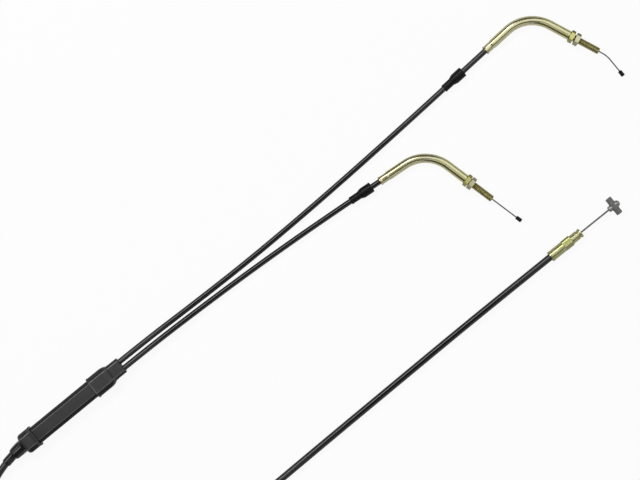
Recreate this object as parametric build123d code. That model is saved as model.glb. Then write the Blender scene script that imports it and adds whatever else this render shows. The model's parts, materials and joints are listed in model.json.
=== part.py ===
from build123d import *
import math
import os

# A throttle cable that works two carburettors from one lever, in millimetres.
# X runs along the splitter body from the lever's side towards the carburettors, +Z is up.
# The origin is the centre of the splitter body's flat underside.

# ---- splitter body, and the block that slides in it ----
body_length = 82.0
body_width = 16.6
body_height = 13.0
body_bevel = 3.2
body_wall = 2.0
rebate_depth = 0.4
rebate_gap = 0.3
cavity_bevel = 1.4
slider_length = 13.0
slider_clearance = 0.15
slider_rest_gap = 2.0
stroke = 22.0

# ---- end plugs of the splitter ----
plug_clearance = 0.1
plug_insert = 6.0
main_nose_length = 4.4
branch_nose_length = 11.0
nose_width = 15.2
nose_height = 9.6
nose_bevel = 2.4
cap_socket_depth = 8.0
main_cap_socket_depth = 3.4
wire_hole_clearance = 0.3

# ---- rubber boots over the splitter's ends ----
boot_wall = 1.6
boot_clearance = 0.1
main_boot_overlap = 9.0
branch_boot_overlap = 9.0
main_boot_back = 5.0
branch_boot_back = 11.6
shoulder_round = 3.0
main_neck_length = 12.0
main_neck_radius = 5.9
main_neck_taper = 0.7
main_cuff_length = 9.6
main_cuff_wall = 0.9
branch_neck_length = 11.4
branch_neck_width = 15.2
branch_neck_height = 9.6
branch_neck_bevel = 2.2

# ---- conduits: a jacket over a steel winding over a liner over the inner wire ----
layer_clearance = 0.05
main_conduit_radius = 3.1
branch_conduit_radius = 2.5
jacket_wall = 0.7
main_winding_wall = 0.9
branch_winding_wall = 0.65
liner_wall = 0.4
main_wire_radius = 0.8
branch_wire_radius = 0.6
cap_wall = 0.5
cap_end_wall = 0.6
cap_length = 6.0
branch_spacing = 6.7

# ---- lever end ----
ferrule_seat_depth = 13.0
ferrule_lip_length = 1.9
ferrule_lip_radius = 4.75
ferrule_barrel_length = 12.7
ferrule_barrel_radius = 4.6
crimp_length = 8.8
crimp_across_corners = 9.9
ferrule_neck_length = 7.2
ferrule_neck_radius = 4.0
ferrule_groove_length = 1.3
ferrule_groove_radius = 3.35
ferrule_flange_length = 2.0
ferrule_flange_radius = 4.15
ferrule_bore_clearance = 0.4
lever_wire_exposed = 31.0
collar_length = 4.4
collar_radius = 2.6
barrel_length = 16.7
barrel_radius = 2.85
barrel_hub_radius = 3.1
barrel_hub_length = 6.6
barrel_spot_face = 1.4
stem_radius = 1.3
dome_radius = 3.0
dome_length = 4.4
seat_clearance = 0.05
buried_wire = 28.0

# ---- bent guide tubes ----
elbow_radius = 32.0
elbow_bend = 70.9
elbow_leg_in = 49.0
elbow_leg_out = 42.5
elbow_outer_radius = 3.95
elbow_wall = 1.15
conduit_seat_depth = 12.0
crimped_inlet = 8.0
crimped_inlet_radius = 3.65
inlet_rim = 1.0
elbow_liner_clearance = 0.1

# ---- adjusters, M6 x 1 ----
thread_radius = 3.0
thread_length = 25.0
root_groove_radius = 2.7
root_groove_width = 0.6
root_groove_past_nut = 0.3
thread_tip_chamfer = 0.8
hex_across_flats = 10.0
hex_head_length = 3.6
hex_corner_chamfer = 0.5
head_gap = 0.1
spigot_length = 8.0
running_clearance = 0.05
adjuster_bore_clearance = 0.4
nut_length = 3.8
long_nut_gap = 1.5
short_nut_gap = 0.7

# ---- dust boots, pushed back along the branch conduits ----
long_bare_length = 26.6
short_bare_length = 8.6
dust_cuff_length = 10.6
dust_cuff_radius = 3.45
dust_cuff_clearance = 0.12
dust_shoulder_length = 2.2
dust_bell_length = 9.4
dust_bell_radius = 4.7
dust_bell_clearance = 0.15
dust_bell_depth = 9.0

# ---- carburettor nipples ----
nipple_radius = 1.75
nipple_length = 5.6
nipple_chamfer = 0.7
short_wire_exposed = 26.0
bent_wire_straight = 3.0
bent_wire_radius = 25.0
bent_wire_turn = 22.5
bent_wire_end = 12.0
slider_nipple_length = 5.0
main_nipple_radius = 2.0
pocket_clearance = 0.05
meeting_overlap = 1.2

axis_height = body_height / 2
main_seat_x = -(body_length / 2 + main_nose_length - main_cap_socket_depth)
branch_seat_x = body_length / 2 + branch_nose_length - cap_socket_depth

# Each conduit's route, from its seat in the splitter to its far end. The points after the
# first two are where a hand laid the cable, and the first two follow the splitter.
main_route = [
    (main_seat_x - cap_end_wall, 0, axis_height),
    (-54.0, 0, axis_height),
    (-74.6, -3.8, 6.0),
    (-101.0, -14.0, 4.4),
    (-123.0, -35.0, 2.8),
    (-135.0, -66.0, 1.9),
    (-133.0, -101.0, 1.6),
    (-116.0, -131.0, 1.7),
    (-87.0, -151.5, 1.6),
    (-49.0, -162.0, 1.7),
    (6.0, -165.7, 1.6),
    (70.0, -165.1, 1.8),
    (154.0, -164.1, 1.6),
    (243.0, -163.5, 1.8),
    (334.0, -162.9, 3.1),
    (424.0, -163.7, 3.1),
]
long_route = [
    (branch_seat_x + cap_end_wall, branch_spacing / 2, axis_height),
    (90.0, branch_spacing / 2, axis_height),
    (146.0, 1.3, 4.9),
    (206.0, 0.1, 2.6),
    (272.5, 1.0, 1.3),
    (344.5, 3.5, 2.4),
    (418.5, 7.2, 3.4),
    (492.6, 11.5, 3.4),
]
short_route = [
    (branch_seat_x + cap_end_wall, -branch_spacing / 2, axis_height),
    (90.0, -branch_spacing / 2, axis_height),
    (148.0, -5.2, 3.6),
    (212.5, -8.4, 1.5),
    (282.0, -13.6, 3.4),
    (350.0, -20.0, 3.4),
]
arc_share = 0.45


def turned(*outline):
    """The solid of an outline of (x, radius) points, turned about the X axis."""
    return revolve(make_face(Polyline(*outline, close=True)), axis=Axis.X)


def rod(start, end, radius, y=0.0):
    """A round bar along X from start to end."""
    return extrude(Plane.YZ.offset(start) * Pos(y, 0) * Circle(radius), end - start)


def bar(start, end, width, height, bevel):
    """A bar along X whose four long edges are bevelled."""
    w = width / 2
    h = height / 2
    quarter = [(w - bevel, h), (w, h - bevel)]
    right = quarter + [(y, -z) for y, z in reversed(quarter)]
    outline = right + [(-y, z) for y, z in reversed(right)]
    section = make_face(Polyline(*outline, close=True))
    return extrude(Plane.YZ.offset(start) * section, end - start)


def hexagon(start, length, across_flats, corner_chamfer):
    """A hexagonal prism along X, flats up and down, its corners turned off at both ends."""
    corner = across_flats / math.sqrt(3)
    prism = extrude(Plane.YZ.offset(start) * RegularPolygon(corner, 6), length)
    if corner_chamfer == 0:
        return prism
    end = start + length
    cone_edge = corner - corner_chamfer
    drop = corner_chamfer * math.tan(math.radians(30))
    turning = turned(
        (start, 0),
        (start, cone_edge),
        (start + drop, corner),
        (end - drop, corner),
        (end, cone_edge),
        (end, 0),
    )
    return prism & turning


def corner_radii(points):
    """One bend radius for each inner point of a route, as large as its two runs allow."""
    radii = []
    for before, corner, after in zip(points, points[1:], points[2:]):
        arriving = Vector(*corner) - Vector(*before)
        leaving = Vector(*after) - Vector(*corner)
        half_turn = math.radians(arriving.get_angle(leaving) / 2)
        reach = arc_share * min(arriving.length, leaving.length)
        radii.append(reach / math.tan(half_turn))
    return radii


def along(points, radii, outer, inner=0.0):
    """A round tube, or a rod if inner is 0, along a route with rounded corners."""
    line = FilletPolyline(*points, radius=radii)
    ring = Circle(outer)
    if inner > 0:
        ring = ring - Circle(inner)
    start = Plane(origin=line @ 0, z_dir=line % 0)
    return sweep(start * ring, path=line)


def moved_end(end, towards, distance):
    """The point that lies distance from end, on the line through towards."""
    step = (Vector(*towards) - Vector(*end)).normalized() * distance
    return tuple(Vector(*end) + step)


def heading(route):
    """The direction of a route's last run, in degrees about Z from +X."""
    (x0, y0, _), (x1, y1, _) = route[-2:]
    return math.degrees(math.atan2(y1 - y0, x1 - x0))


class Conduit:
    """A conduit's layers, worked out from its outer and wire radius."""

    def __init__(self, route, radius, winding_wall, wire_radius):
        self.route = route
        self.radii = corner_radii(route)
        self.radius = radius
        self.jacket_bore = radius - jacket_wall
        self.winding_radius = self.jacket_bore - layer_clearance
        self.winding_bore = self.winding_radius - winding_wall
        self.liner_radius = self.winding_bore - layer_clearance
        self.liner_bore = self.liner_radius - liner_wall
        self.wire_radius = wire_radius
        self.cap_bore = radius + layer_clearance
        self.cap_radius = self.cap_bore + cap_wall

    def jacket(self):
        return along(self.route, self.radii, self.radius, self.jacket_bore)

    def winding(self):
        return along(self.route, self.radii, self.winding_radius, self.winding_bore)

    def liner(self):
        return along(self.route, self.radii, self.liner_radius, self.liner_bore)

    def end_cap(self, seat_x, side):
        """The metal cap on the splitter end: side is 1 where the conduit leaves along +X."""
        y = self.route[0][1]
        hole = self.wire_radius + wire_hole_clearance
        cap = rod(0, cap_length, self.cap_radius)
        cap -= rod(cap_end_wall, cap_length, self.cap_bore)
        cap -= rod(0, cap_length, hole)
        if side < 0:
            cap = cap.rotate(Axis.Z, 180)
        return Pos(seat_x, y, axis_height) * cap


main = Conduit(main_route, main_conduit_radius, main_winding_wall, main_wire_radius)
long = Conduit(long_route, branch_conduit_radius, branch_winding_wall, branch_wire_radius)
short = Conduit(short_route, branch_conduit_radius, branch_winding_wall, branch_wire_radius)

# ---- places that several pieces share ----
splitter_axis = Pos(0, 0, axis_height)
body_end = body_length / 2
cavity_width = body_width - 2 * body_wall
cavity_height = body_height - 2 * body_wall
insert_face = body_end - plug_insert
slider_front = insert_face - slider_rest_gap
slider_back = slider_front - slider_length
branch_offsets = (branch_spacing / 2, -branch_spacing / 2)
branch_hole = branch_wire_radius + wire_hole_clearance
main_hole = main_wire_radius + wire_hole_clearance
main_meeting_x = slider_back - stroke + meeting_overlap
branch_meeting_x = branch_seat_x + stroke - plug_insert


# ---- splitter ----
def rebated_end(start, end, clearance=0.0):
    """The stepped-down end of the body that a boot's mouth grips."""
    smaller = 2 * (rebate_depth - clearance)
    return bar(start, end, body_width - smaller, body_height - smaller, body_bevel)


def splitter_body():
    shell = rebated_end(-body_end, body_end)
    start = main_boot_overlap + rebate_gap - body_end
    end = body_end - branch_boot_overlap - rebate_gap
    shell += bar(start, end, body_width, body_height, body_bevel)
    cavity = bar(-body_end, body_end, cavity_width, cavity_height, cavity_bevel)
    return splitter_axis * (shell - cavity)


def plug(nose_length, socket_depth, cap_radius, hole_radius, offsets):
    """An end plug along +X: it enters the body by plug_insert and its nose stands out."""
    gap = 2 * plug_clearance
    insert = bar(insert_face, body_end, cavity_width - gap, cavity_height - gap, cavity_bevel)
    nose_end = body_end + nose_length
    solid = insert + bar(body_end, nose_end, nose_width, nose_height, nose_bevel)
    for y in offsets:
        solid -= rod(nose_end - socket_depth, nose_end, cap_radius + plug_clearance, y)
        solid -= rod(insert_face, nose_end, hole_radius, y)
    return solid


def main_end_plug():
    solid = plug(main_nose_length, main_cap_socket_depth, main.cap_radius, main_hole, [0])
    return splitter_axis * solid.rotate(Axis.Z, 180)


def branch_end_plug():
    return splitter_axis * plug(
        branch_nose_length, cap_socket_depth, long.cap_radius, branch_hole, branch_offsets
    )


def splitter_slider():
    gap = 2 * slider_clearance
    block = bar(
        slider_back, slider_front, cavity_width - gap, cavity_height - gap, cavity_bevel
    )
    pocket = slider_nipple_length + pocket_clearance
    block -= rod(slider_front - pocket, slider_front, main_nipple_radius + pocket_clearance)
    block -= rod(slider_back, slider_front, main_hole)
    for y in branch_offsets:
        block -= rod(slider_back, slider_back + pocket, nipple_radius + pocket_clearance, y)
        block -= rod(slider_back, slider_front, branch_hole, y)
    return splitter_axis * block


def main_slider_nipple():
    floor = slider_front - slider_nipple_length - pocket_clearance
    return splitter_axis * rod(floor, floor + slider_nipple_length, main_nipple_radius)


def branch_slider_nipple(y):
    return splitter_axis * rod(
        slider_back + pocket_clearance,
        slider_back + pocket_clearance + slider_nipple_length,
        nipple_radius,
        y,
    )


def main_slider_wire():
    floor = slider_front - slider_nipple_length - pocket_clearance
    return splitter_axis * rod(main_meeting_x, floor, main_wire_radius)


def branch_slider_wire(y):
    face = slider_back + pocket_clearance + slider_nipple_length
    return splitter_axis * rod(face, branch_meeting_x, branch_wire_radius, y)


def boot_bell(overlap, back):
    """A boot's bell along +X: it covers the body by overlap and ends back past it."""
    mouth = body_end - overlap
    rear = body_end + back
    grown = 2 * (boot_wall + boot_clearance)
    bell = bar(mouth, rear, body_width + grown, body_height + grown, body_bevel + boot_wall / 2)
    rear_edges = bell.faces().sort_by(Axis.X)[-1].edges()
    bell = fillet(rear_edges, shoulder_round)
    return bell - rebated_end(mouth, body_end, boot_clearance)


def nose_pocket(nose_length):
    """The room that a boot leaves for a plug's nose."""
    gap = 2 * boot_clearance
    end = body_end + nose_length + boot_clearance
    return bar(body_end, end, nose_width + gap, nose_height + gap, nose_bevel)


def main_boot():
    """The boot on the lever's side: its cuff turns with the conduit's first bend."""
    bell = boot_bell(main_boot_overlap, main_boot_back).rotate(Axis.Z, 180)
    pocket = nose_pocket(main_nose_length).rotate(Axis.Z, 180)
    bend = Vector(*main_route[1])
    neck_start = -(body_end + main_boot_back)
    straight = Pos(0, 0, axis_height) * rod(bend.X, neck_start, main_neck_radius)
    turn = Vector(*main_route[2]) - bend
    frame = Plane(origin=bend, x_dir=turn.normalized(), z_dir=(0, 0, 1)).location
    neck_end = main_neck_length - (neck_start - bend.X)
    neck = turned(
        (0, 0),
        (0, main_neck_radius),
        (neck_end, main_neck_radius - main_neck_taper),
        (neck_end, 0),
    )
    cuff = rod(neck_end, neck_end + main_cuff_length, main_conduit_radius + main_cuff_wall)
    outside = splitter_axis * bell + straight + Pos(bend) * Sphere(main_neck_radius)
    outside += frame * (neck + cuff)
    way = along(main_route[:4], main.radii[:2], main_conduit_radius + boot_clearance)
    cap_end = -main_seat_x + cap_length + boot_clearance
    cap_room = rod(body_end, cap_end, main.cap_radius + boot_clearance).rotate(Axis.Z, 180)
    return outside - splitter_axis * pocket - splitter_axis * cap_room - way


def branch_boot():
    """The boot on the carburettors' side: both branch conduits leave through its flat neck."""
    bell = boot_bell(branch_boot_overlap, branch_boot_back)
    neck_start = body_end + branch_boot_back
    neck_end = neck_start + branch_neck_length
    neck = bar(neck_start, neck_end, branch_neck_width, branch_neck_height, branch_neck_bevel)
    solid = bell + neck - nose_pocket(branch_nose_length)
    for y in branch_offsets:
        solid -= rod(body_end, neck_end, branch_conduit_radius + boot_clearance, y)
    return splitter_axis * solid


# ---- lever end ----
lever_end = moved_end(main_route[-1], main_route[-2], ferrule_seat_depth)
lever_frame = Location(lever_end, (0, 0, heading(main_route)))
crimp_start = ferrule_lip_length + ferrule_barrel_length
crimp_end = crimp_start + crimp_length
groove_start = crimp_end + ferrule_neck_length
flange_start = groove_start + ferrule_groove_length
ferrule_end = flange_start + ferrule_flange_length
collar_start = ferrule_end + lever_wire_exposed
collar_end = collar_start + collar_length
barrel_axis_x = collar_end + barrel_spot_face


def lever_ferrule():
    lip_edge = ferrule_lip_length
    solid = turned(
        (0, 0),
        (0, ferrule_lip_radius),
        (lip_edge, ferrule_lip_radius),
        (lip_edge, ferrule_barrel_radius),
        (crimp_start, ferrule_barrel_radius),
        (crimp_start, 0),
    )
    across_flats = crimp_across_corners * math.sqrt(3) / 2
    solid += hexagon(crimp_start, crimp_length, across_flats, 0)
    solid += turned(
        (crimp_end, 0),
        (crimp_end, ferrule_neck_radius),
        (groove_start, ferrule_neck_radius),
        (groove_start, ferrule_groove_radius),
        (flange_start, ferrule_groove_radius),
        (flange_start, ferrule_flange_radius),
        (ferrule_end, ferrule_flange_radius),
        (ferrule_end, 0),
    )
    solid -= rod(0, ferrule_seat_depth, main_conduit_radius + layer_clearance)
    solid -= rod(0, ferrule_end, main_wire_radius + ferrule_bore_clearance)
    return lever_frame * solid


def lever_wire():
    return lever_frame * rod(ferrule_end - buried_wire, collar_start, main_wire_radius)


def lever_collar():
    return lever_frame * rod(collar_start, collar_end, collar_radius)


def lever_barrel():
    """The cross barrel, spot-faced on both sides for the collar and the dome."""
    barrel = Cylinder(barrel_radius, barrel_length)
    barrel += Cylinder(barrel_hub_radius, barrel_hub_length)
    barrel = Pos(barrel_axis_x, 0, 0) * Rot(90, 0, 0) * barrel
    reach = barrel_hub_radius
    near = barrel_axis_x - barrel_spot_face
    far = barrel_axis_x + barrel_spot_face
    barrel -= rod(near - reach, near, collar_radius + seat_clearance)
    barrel -= rod(far, far + reach, dome_radius + seat_clearance)
    barrel -= rod(near, far, stem_radius + seat_clearance)
    return lever_frame * barrel


def lever_dome():
    """The soldered nipple: a stem through the barrel under a rounded head."""
    base = barrel_axis_x + barrel_spot_face
    tip = base + dome_length
    shoulder = tip - dome_radius / 2
    head = rod(base, tip, dome_radius)
    head = fillet(head.faces().sort_by(Axis.X)[-1].edges(), tip - shoulder)
    stem = rod(collar_end, base, stem_radius)
    return lever_frame * (head + stem)


# ---- one branch's guide tube and adjuster ----
root_groove_start = max(long_nut_gap, short_nut_gap) + nut_length + root_groove_past_nut
root_groove_end = root_groove_start + root_groove_width


class Branch:
    """The fittings at a branch conduit's far end. Their shared frame starts at the guide
    tube's inlet, with X along the conduit's last run."""

    def __init__(self, name, conduit, nut_gap, bare_length, wire_turn, wire_straight):
        self.name = name
        self.conduit = conduit
        self.nut_gap = nut_gap
        self.bare_length = bare_length
        self.wire_turn = wire_turn
        self.wire_straight = wire_straight
        inlet = moved_end(conduit.route[-1], conduit.route[-2], conduit_seat_depth)
        self.inlet_frame = Location(inlet, (0, 0, heading(conduit.route)))
        turn = math.radians(elbow_bend)
        out_x = elbow_leg_in + elbow_leg_out * math.cos(turn)
        out_y = -elbow_leg_out * math.sin(turn)
        self.outlet = (out_x, out_y, 0)
        self.outlet_frame = self.inlet_frame * Location(self.outlet, (0, 0, -elbow_bend))

    def centreline(self, start, end):
        """The bent tube's middle line, from start past the inlet to end past the outlet."""
        turn = math.radians(elbow_bend)
        last_x = self.outlet[0] + end * math.cos(turn)
        last_y = self.outlet[1] - end * math.sin(turn)
        return [(start, 0, 0), (elbow_leg_in, 0, 0), (last_x, last_y, 0)]

    def elbow_tube(self):
        bend = [elbow_radius]
        solid = along(self.centreline(0, 0), bend, elbow_outer_radius)
        groove = turned(
            (inlet_rim, crimped_inlet_radius),
            (crimped_inlet, crimped_inlet_radius),
            (crimped_inlet + inlet_rim, 2 * elbow_outer_radius),
            (inlet_rim, 2 * elbow_outer_radius),
        )
        bore = elbow_outer_radius - elbow_wall
        solid -= groove
        solid -= along(self.centreline(crimped_inlet, 0), bend, bore)
        solid -= rod(0, crimped_inlet, branch_conduit_radius + layer_clearance)
        return self.inlet_frame * solid

    def elbow_liner(self):
        radius = elbow_outer_radius - elbow_wall - elbow_liner_clearance
        line = self.centreline(conduit_seat_depth, -spigot_length - head_gap)
        bore = self.conduit.liner_bore
        return self.inlet_frame * along(line, [elbow_radius], radius, bore)

    def adjuster_screw(self):
        """Its thread is a plain cylinder, with one root cut as a groove past the lock nut."""
        spigot_radius = elbow_outer_radius - elbow_wall - running_clearance
        bore = branch_wire_radius + adjuster_bore_clearance
        shank_start = head_gap + hex_head_length
        tip = shank_start + thread_length
        screw = rod(-spigot_length, head_gap, spigot_radius)
        screw += hexagon(head_gap, hex_head_length, hex_across_flats, hex_corner_chamfer)
        screw += turned(
            (shank_start, 0),
            (shank_start, thread_radius),
            (shank_start + root_groove_start, thread_radius),
            (shank_start + root_groove_start, root_groove_radius),
            (shank_start + root_groove_end, root_groove_radius),
            (shank_start + root_groove_end, thread_radius),
            (tip - thread_tip_chamfer, thread_radius),
            (tip, thread_radius - thread_tip_chamfer),
            (tip, 0),
        )
        screw -= rod(-spigot_length, tip, bore)
        return self.outlet_frame * screw

    def lock_nut(self):
        start = head_gap + hex_head_length + self.nut_gap
        nut = hexagon(start, nut_length, hex_across_flats, hex_corner_chamfer)
        nut -= rod(start, start + nut_length, thread_radius + running_clearance)
        return self.outlet_frame * nut

    def dust_boot(self):
        mouth = -self.bare_length
        cuff_end = mouth - dust_bell_length - dust_shoulder_length
        back = cuff_end - dust_cuff_length
        bore = branch_conduit_radius + dust_cuff_clearance
        room = elbow_outer_radius + dust_bell_clearance
        boot = turned(
            (back, bore),
            (back, dust_cuff_radius),
            (cuff_end, dust_cuff_radius),
            (mouth - dust_bell_length, dust_bell_radius),
            (mouth, dust_bell_radius),
            (mouth, room),
            (mouth - dust_bell_depth, room),
            (mouth - dust_bell_depth, bore),
        )
        return self.inlet_frame * boot

    def mouth(self):
        """How far the screw's open end lies from the tube's outlet."""
        return head_gap + hex_head_length + thread_length

    def inner_wire(self):
        """The wire inside, from the splitter's cavity to the mouth of the screw."""
        route = self.conduit.route
        first = (branch_meeting_x, route[0][1], route[0][2])
        corner, last = [
            tuple((self.inlet_frame * Pos(*p)).position)
            for p in self.centreline(0, self.mouth())[1:]
        ]
        points = [first, *route[1:-1], corner, last]
        return along(points, self.conduit.radii + [elbow_radius], branch_wire_radius)

    def wire_line(self):
        """The bare wire's points past the mouth, in the outlet's frame."""
        turn = math.radians(self.wire_turn)
        reach = bent_wire_radius * math.tan(turn / 2)
        corner = self.mouth() + self.wire_straight + reach
        leg = reach + bent_wire_end
        tip = (corner + leg * math.cos(turn), -leg * math.sin(turn), 0)
        return [(self.mouth(), 0, 0), (corner, 0, 0), tip]

    def exposed_wire(self):
        if self.wire_turn == 0:
            end = self.mouth() + short_wire_exposed
            return self.outlet_frame * rod(self.mouth(), end, branch_wire_radius)
        line = self.wire_line()
        return self.outlet_frame * along(line, [bent_wire_radius], branch_wire_radius)

    def nipple_frame(self):
        """Where the bare wire meets its nipple, with X along the wire."""
        if self.wire_turn == 0:
            return self.outlet_frame * Pos(self.mouth() + short_wire_exposed, 0, 0)
        tip = self.wire_line()[-1]
        return self.outlet_frame * Location(tip, (0, 0, -self.wire_turn))

    def carb_nipple(self):
        nipple = turned(
            (0, 0),
            (0, nipple_radius - nipple_chamfer),
            (nipple_chamfer, nipple_radius),
            (nipple_length, nipple_radius),
            (nipple_length, 0),
        )
        return self.nipple_frame() * nipple


def main_inner_wire():
    """The wire inside the main conduit, from the splitter's cavity to the lever's wire."""
    first = (main_meeting_x, 0, axis_height)
    last = tuple((lever_frame * Pos(ferrule_end - buried_wire, 0, 0)).position)
    return along([first, *main_route[1:-1], last], main.radii, main_wire_radius)


long_branch = Branch(
    "long", long, long_nut_gap, long_bare_length, bent_wire_turn, bent_wire_straight
)
short_branch = Branch("short", short, short_nut_gap, short_bare_length, 0, 0)
branches = {long_branch: branch_offsets[0], short_branch: branch_offsets[1]}


def build_nodes():
    """Every sub-part by its node's name."""
    nodes = {
        "splitter_body": splitter_body(),
        "main_end_plug": main_end_plug(),
        "branch_end_plug": branch_end_plug(),
        "splitter_slider": splitter_slider(),
        "main_slider_nipple": main_slider_nipple(),
        "main_slider_wire": main_slider_wire(),
        "main_boot": main_boot(),
        "branch_boot": branch_boot(),
        "main_conduit_jacket": main.jacket(),
        "main_conduit_winding": main.winding(),
        "main_conduit_liner": main.liner(),
        "main_conduit_cap": main.end_cap(main_seat_x, -1),
        "main_inner_wire": main_inner_wire(),
        "lever_ferrule": lever_ferrule(),
        "lever_wire": lever_wire(),
        "lever_collar": lever_collar(),
        "lever_barrel": lever_barrel(),
        "lever_dome": lever_dome(),
    }
    for branch, y in branches.items():
        own = {
            "conduit_jacket": branch.conduit.jacket(),
            "conduit_winding": branch.conduit.winding(),
            "conduit_liner": branch.conduit.liner(),
            "conduit_cap": branch.conduit.end_cap(branch_seat_x, 1),
            "slider_nipple": branch_slider_nipple(y),
            "slider_wire": branch_slider_wire(y),
            "inner_wire": branch.inner_wire(),
            "dust_boot": branch.dust_boot(),
            "elbow_tube": branch.elbow_tube(),
            "elbow_liner": branch.elbow_liner(),
            "adjuster_screw": branch.adjuster_screw(),
            "lock_nut": branch.lock_nut(),
            "exposed_wire": branch.exposed_wire(),
            "carb_nipple": branch.carb_nipple(),
        }
        nodes.update({f"{branch.name}_{piece}": solid for piece, solid in own.items()})
    return nodes


def report_conduit(name, conduit, jacket):
    """Print a conduit's length and bend radii, and its volume over section times length."""
    length = FilletPolyline(*conduit.route, radius=conduit.radii).length
    section = math.pi * (conduit.radius**2 - conduit.jacket_bore**2)
    print(f"{name} conduit: {length:.1f} mm long, volume / (section x length) =",
          f"{jacket.volume / (section * length):.5f}")
    print("  bend radii in mm:", [round(r) for r in conduit.radii])


nodes = build_nodes()
os.makedirs("parts", exist_ok=True)
for node_name, solid in nodes.items():
    export_step(solid, f"parts/{node_name}.step")
report_conduit("main", main, nodes["main_conduit_jacket"])
report_conduit("long", long, nodes["long_conduit_jacket"])
report_conduit("short", short, nodes["short_conduit_jacket"])
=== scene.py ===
"""Dresses a throttle cable that works two carburettors from one lever: its conduits, its
splitter with rubber boots, its bent guide tubes with their adjusters, and its lever end."""

import json
import math

import bpy
from bpy.props import FloatProperty, FloatVectorProperty, IntProperty, PointerProperty
from mathutils import Matrix, Vector


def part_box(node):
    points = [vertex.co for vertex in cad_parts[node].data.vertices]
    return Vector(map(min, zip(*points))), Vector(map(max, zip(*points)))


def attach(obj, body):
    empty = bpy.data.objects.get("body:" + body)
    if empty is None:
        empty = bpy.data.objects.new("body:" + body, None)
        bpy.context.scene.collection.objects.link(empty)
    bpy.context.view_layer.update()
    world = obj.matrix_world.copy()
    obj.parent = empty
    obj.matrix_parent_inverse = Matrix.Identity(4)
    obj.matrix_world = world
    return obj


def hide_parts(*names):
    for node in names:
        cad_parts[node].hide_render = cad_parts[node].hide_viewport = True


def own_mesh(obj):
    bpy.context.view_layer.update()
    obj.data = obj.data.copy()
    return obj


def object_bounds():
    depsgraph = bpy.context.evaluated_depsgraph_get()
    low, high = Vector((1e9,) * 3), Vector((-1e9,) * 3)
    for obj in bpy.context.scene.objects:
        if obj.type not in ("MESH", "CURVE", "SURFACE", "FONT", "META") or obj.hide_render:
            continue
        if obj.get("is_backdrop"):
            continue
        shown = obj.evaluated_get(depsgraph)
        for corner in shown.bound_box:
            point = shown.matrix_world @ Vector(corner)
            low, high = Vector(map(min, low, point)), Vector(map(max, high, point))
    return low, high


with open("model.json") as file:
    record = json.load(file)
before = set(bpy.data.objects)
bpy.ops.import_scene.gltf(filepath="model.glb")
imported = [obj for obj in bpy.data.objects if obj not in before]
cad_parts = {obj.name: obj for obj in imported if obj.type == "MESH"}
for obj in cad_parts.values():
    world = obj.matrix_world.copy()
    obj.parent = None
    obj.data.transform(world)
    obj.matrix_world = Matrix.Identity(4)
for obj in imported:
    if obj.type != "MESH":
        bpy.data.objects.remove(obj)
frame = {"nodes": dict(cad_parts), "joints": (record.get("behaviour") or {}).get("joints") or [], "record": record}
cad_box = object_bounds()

bl_info = {
    "name": "Throttle Cable Dresser",
    "version": (1, 0, 0),
    "blender": (4, 5, 0),
    "location": "View3D > Sidebar > Throttle Cable",
    "description": "Builds the pieces of a two-carburettor throttle cable that show",
    "category": "Object",
}

MM = 0.001
UP = Vector((0, 0, 1))
BRANCHES = ("long", "short")
SIDES = 72  # points in a ring, shared by eight corners or six flats
CORNER_STEPS = SIDES // 8  # points that round one of a bar's eight corners
CORNER_SHARE = 0.45  # how much of an edge the rounding of its corner may take
FERRULE_END = 33.9 * MM  # where the ferrule ends, from its open end
CRIMP_TURN = math.radians(-14)  # how the ferrule's hexagon is turned
BARREL_AHEAD = 5.8 * MM  # from the collar's start to the barrel's axis
DOME_AHEAD = 1.4 * MM  # from the barrel's axis to the dome
CAMERA_SPOT = (0.2656, -0.0253)
CAMERA_TURN = math.radians(-39.35)

# Where each conduit lies, from its seat in the splitter to its far end, in metres.
MAIN_ROUTE = [
    (-0.0426, 0, 0.0065),
    (-0.054, 0, 0.0065),
    (-0.0746, -0.0038, 0.006),
    (-0.101, -0.014, 0.0044),
    (-0.123, -0.035, 0.0028),
    (-0.135, -0.066, 0.0019),
    (-0.133, -0.101, 0.0016),
    (-0.116, -0.131, 0.0017),
    (-0.087, -0.1515, 0.0016),
    (-0.049, -0.162, 0.0017),
    (0.006, -0.1657, 0.0016),
    (0.07, -0.1651, 0.0018),
    (0.154, -0.1641, 0.0016),
    (0.243, -0.1635, 0.0018),
    (0.334, -0.1629, 0.0031),
    (0.424, -0.1637, 0.0031),
]
LONG_ROUTE = [
    (0.0446, 0.00335, 0.0065),
    (0.09, 0.00335, 0.0065),
    (0.146, 0.0013, 0.0049),
    (0.206, 0.0001, 0.0026),
    (0.2725, 0.001, 0.0013),
    (0.3445, 0.0035, 0.0024),
    (0.4185, 0.0072, 0.0034),
    (0.4926, 0.0115, 0.0034),
]
SHORT_ROUTE = [
    (0.0446, -0.00335, 0.0065),
    (0.09, -0.00335, 0.0065),
    (0.148, -0.0052, 0.0036),
    (0.2125, -0.0084, 0.0015),
    (0.282, -0.0136, 0.0034),
    (0.35, -0.02, 0.0034),
]
# Each conduit's route, its length in metres and the setting that holds its diameter.
CONDUITS = {
    "main": (MAIN_ROUTE, 0.739, "main_diameter"),
    "long": (LONG_ROUTE, 0.4484, "branch_diameter"),
    "short": (SHORT_ROUTE, 0.3061, "branch_diameter"),
}


def joint(name):
    """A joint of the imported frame."""
    return next(j for j in frame["joints"] if j["name"] == name)


def span(node, axis):
    """How far a solid reaches along an axis, 0 to 2."""
    low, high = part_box(node)
    return high[axis] - low[axis]


def middle(node):
    """The middle of a solid's box."""
    low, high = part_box(node)
    return Vector(low).lerp(Vector(high), 0.5)


def settings(group):
    """One group of this scene's settings."""
    return getattr(bpy.context.scene, group)


def length(name, description, default):
    """A setting in metres."""
    return FloatProperty(name=name, description=description, default=default, unit="LENGTH")


def share(name, description, default):
    """A setting from 0 to 1."""
    return FloatProperty(name=name, description=description, default=default, min=0, max=1)


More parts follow.
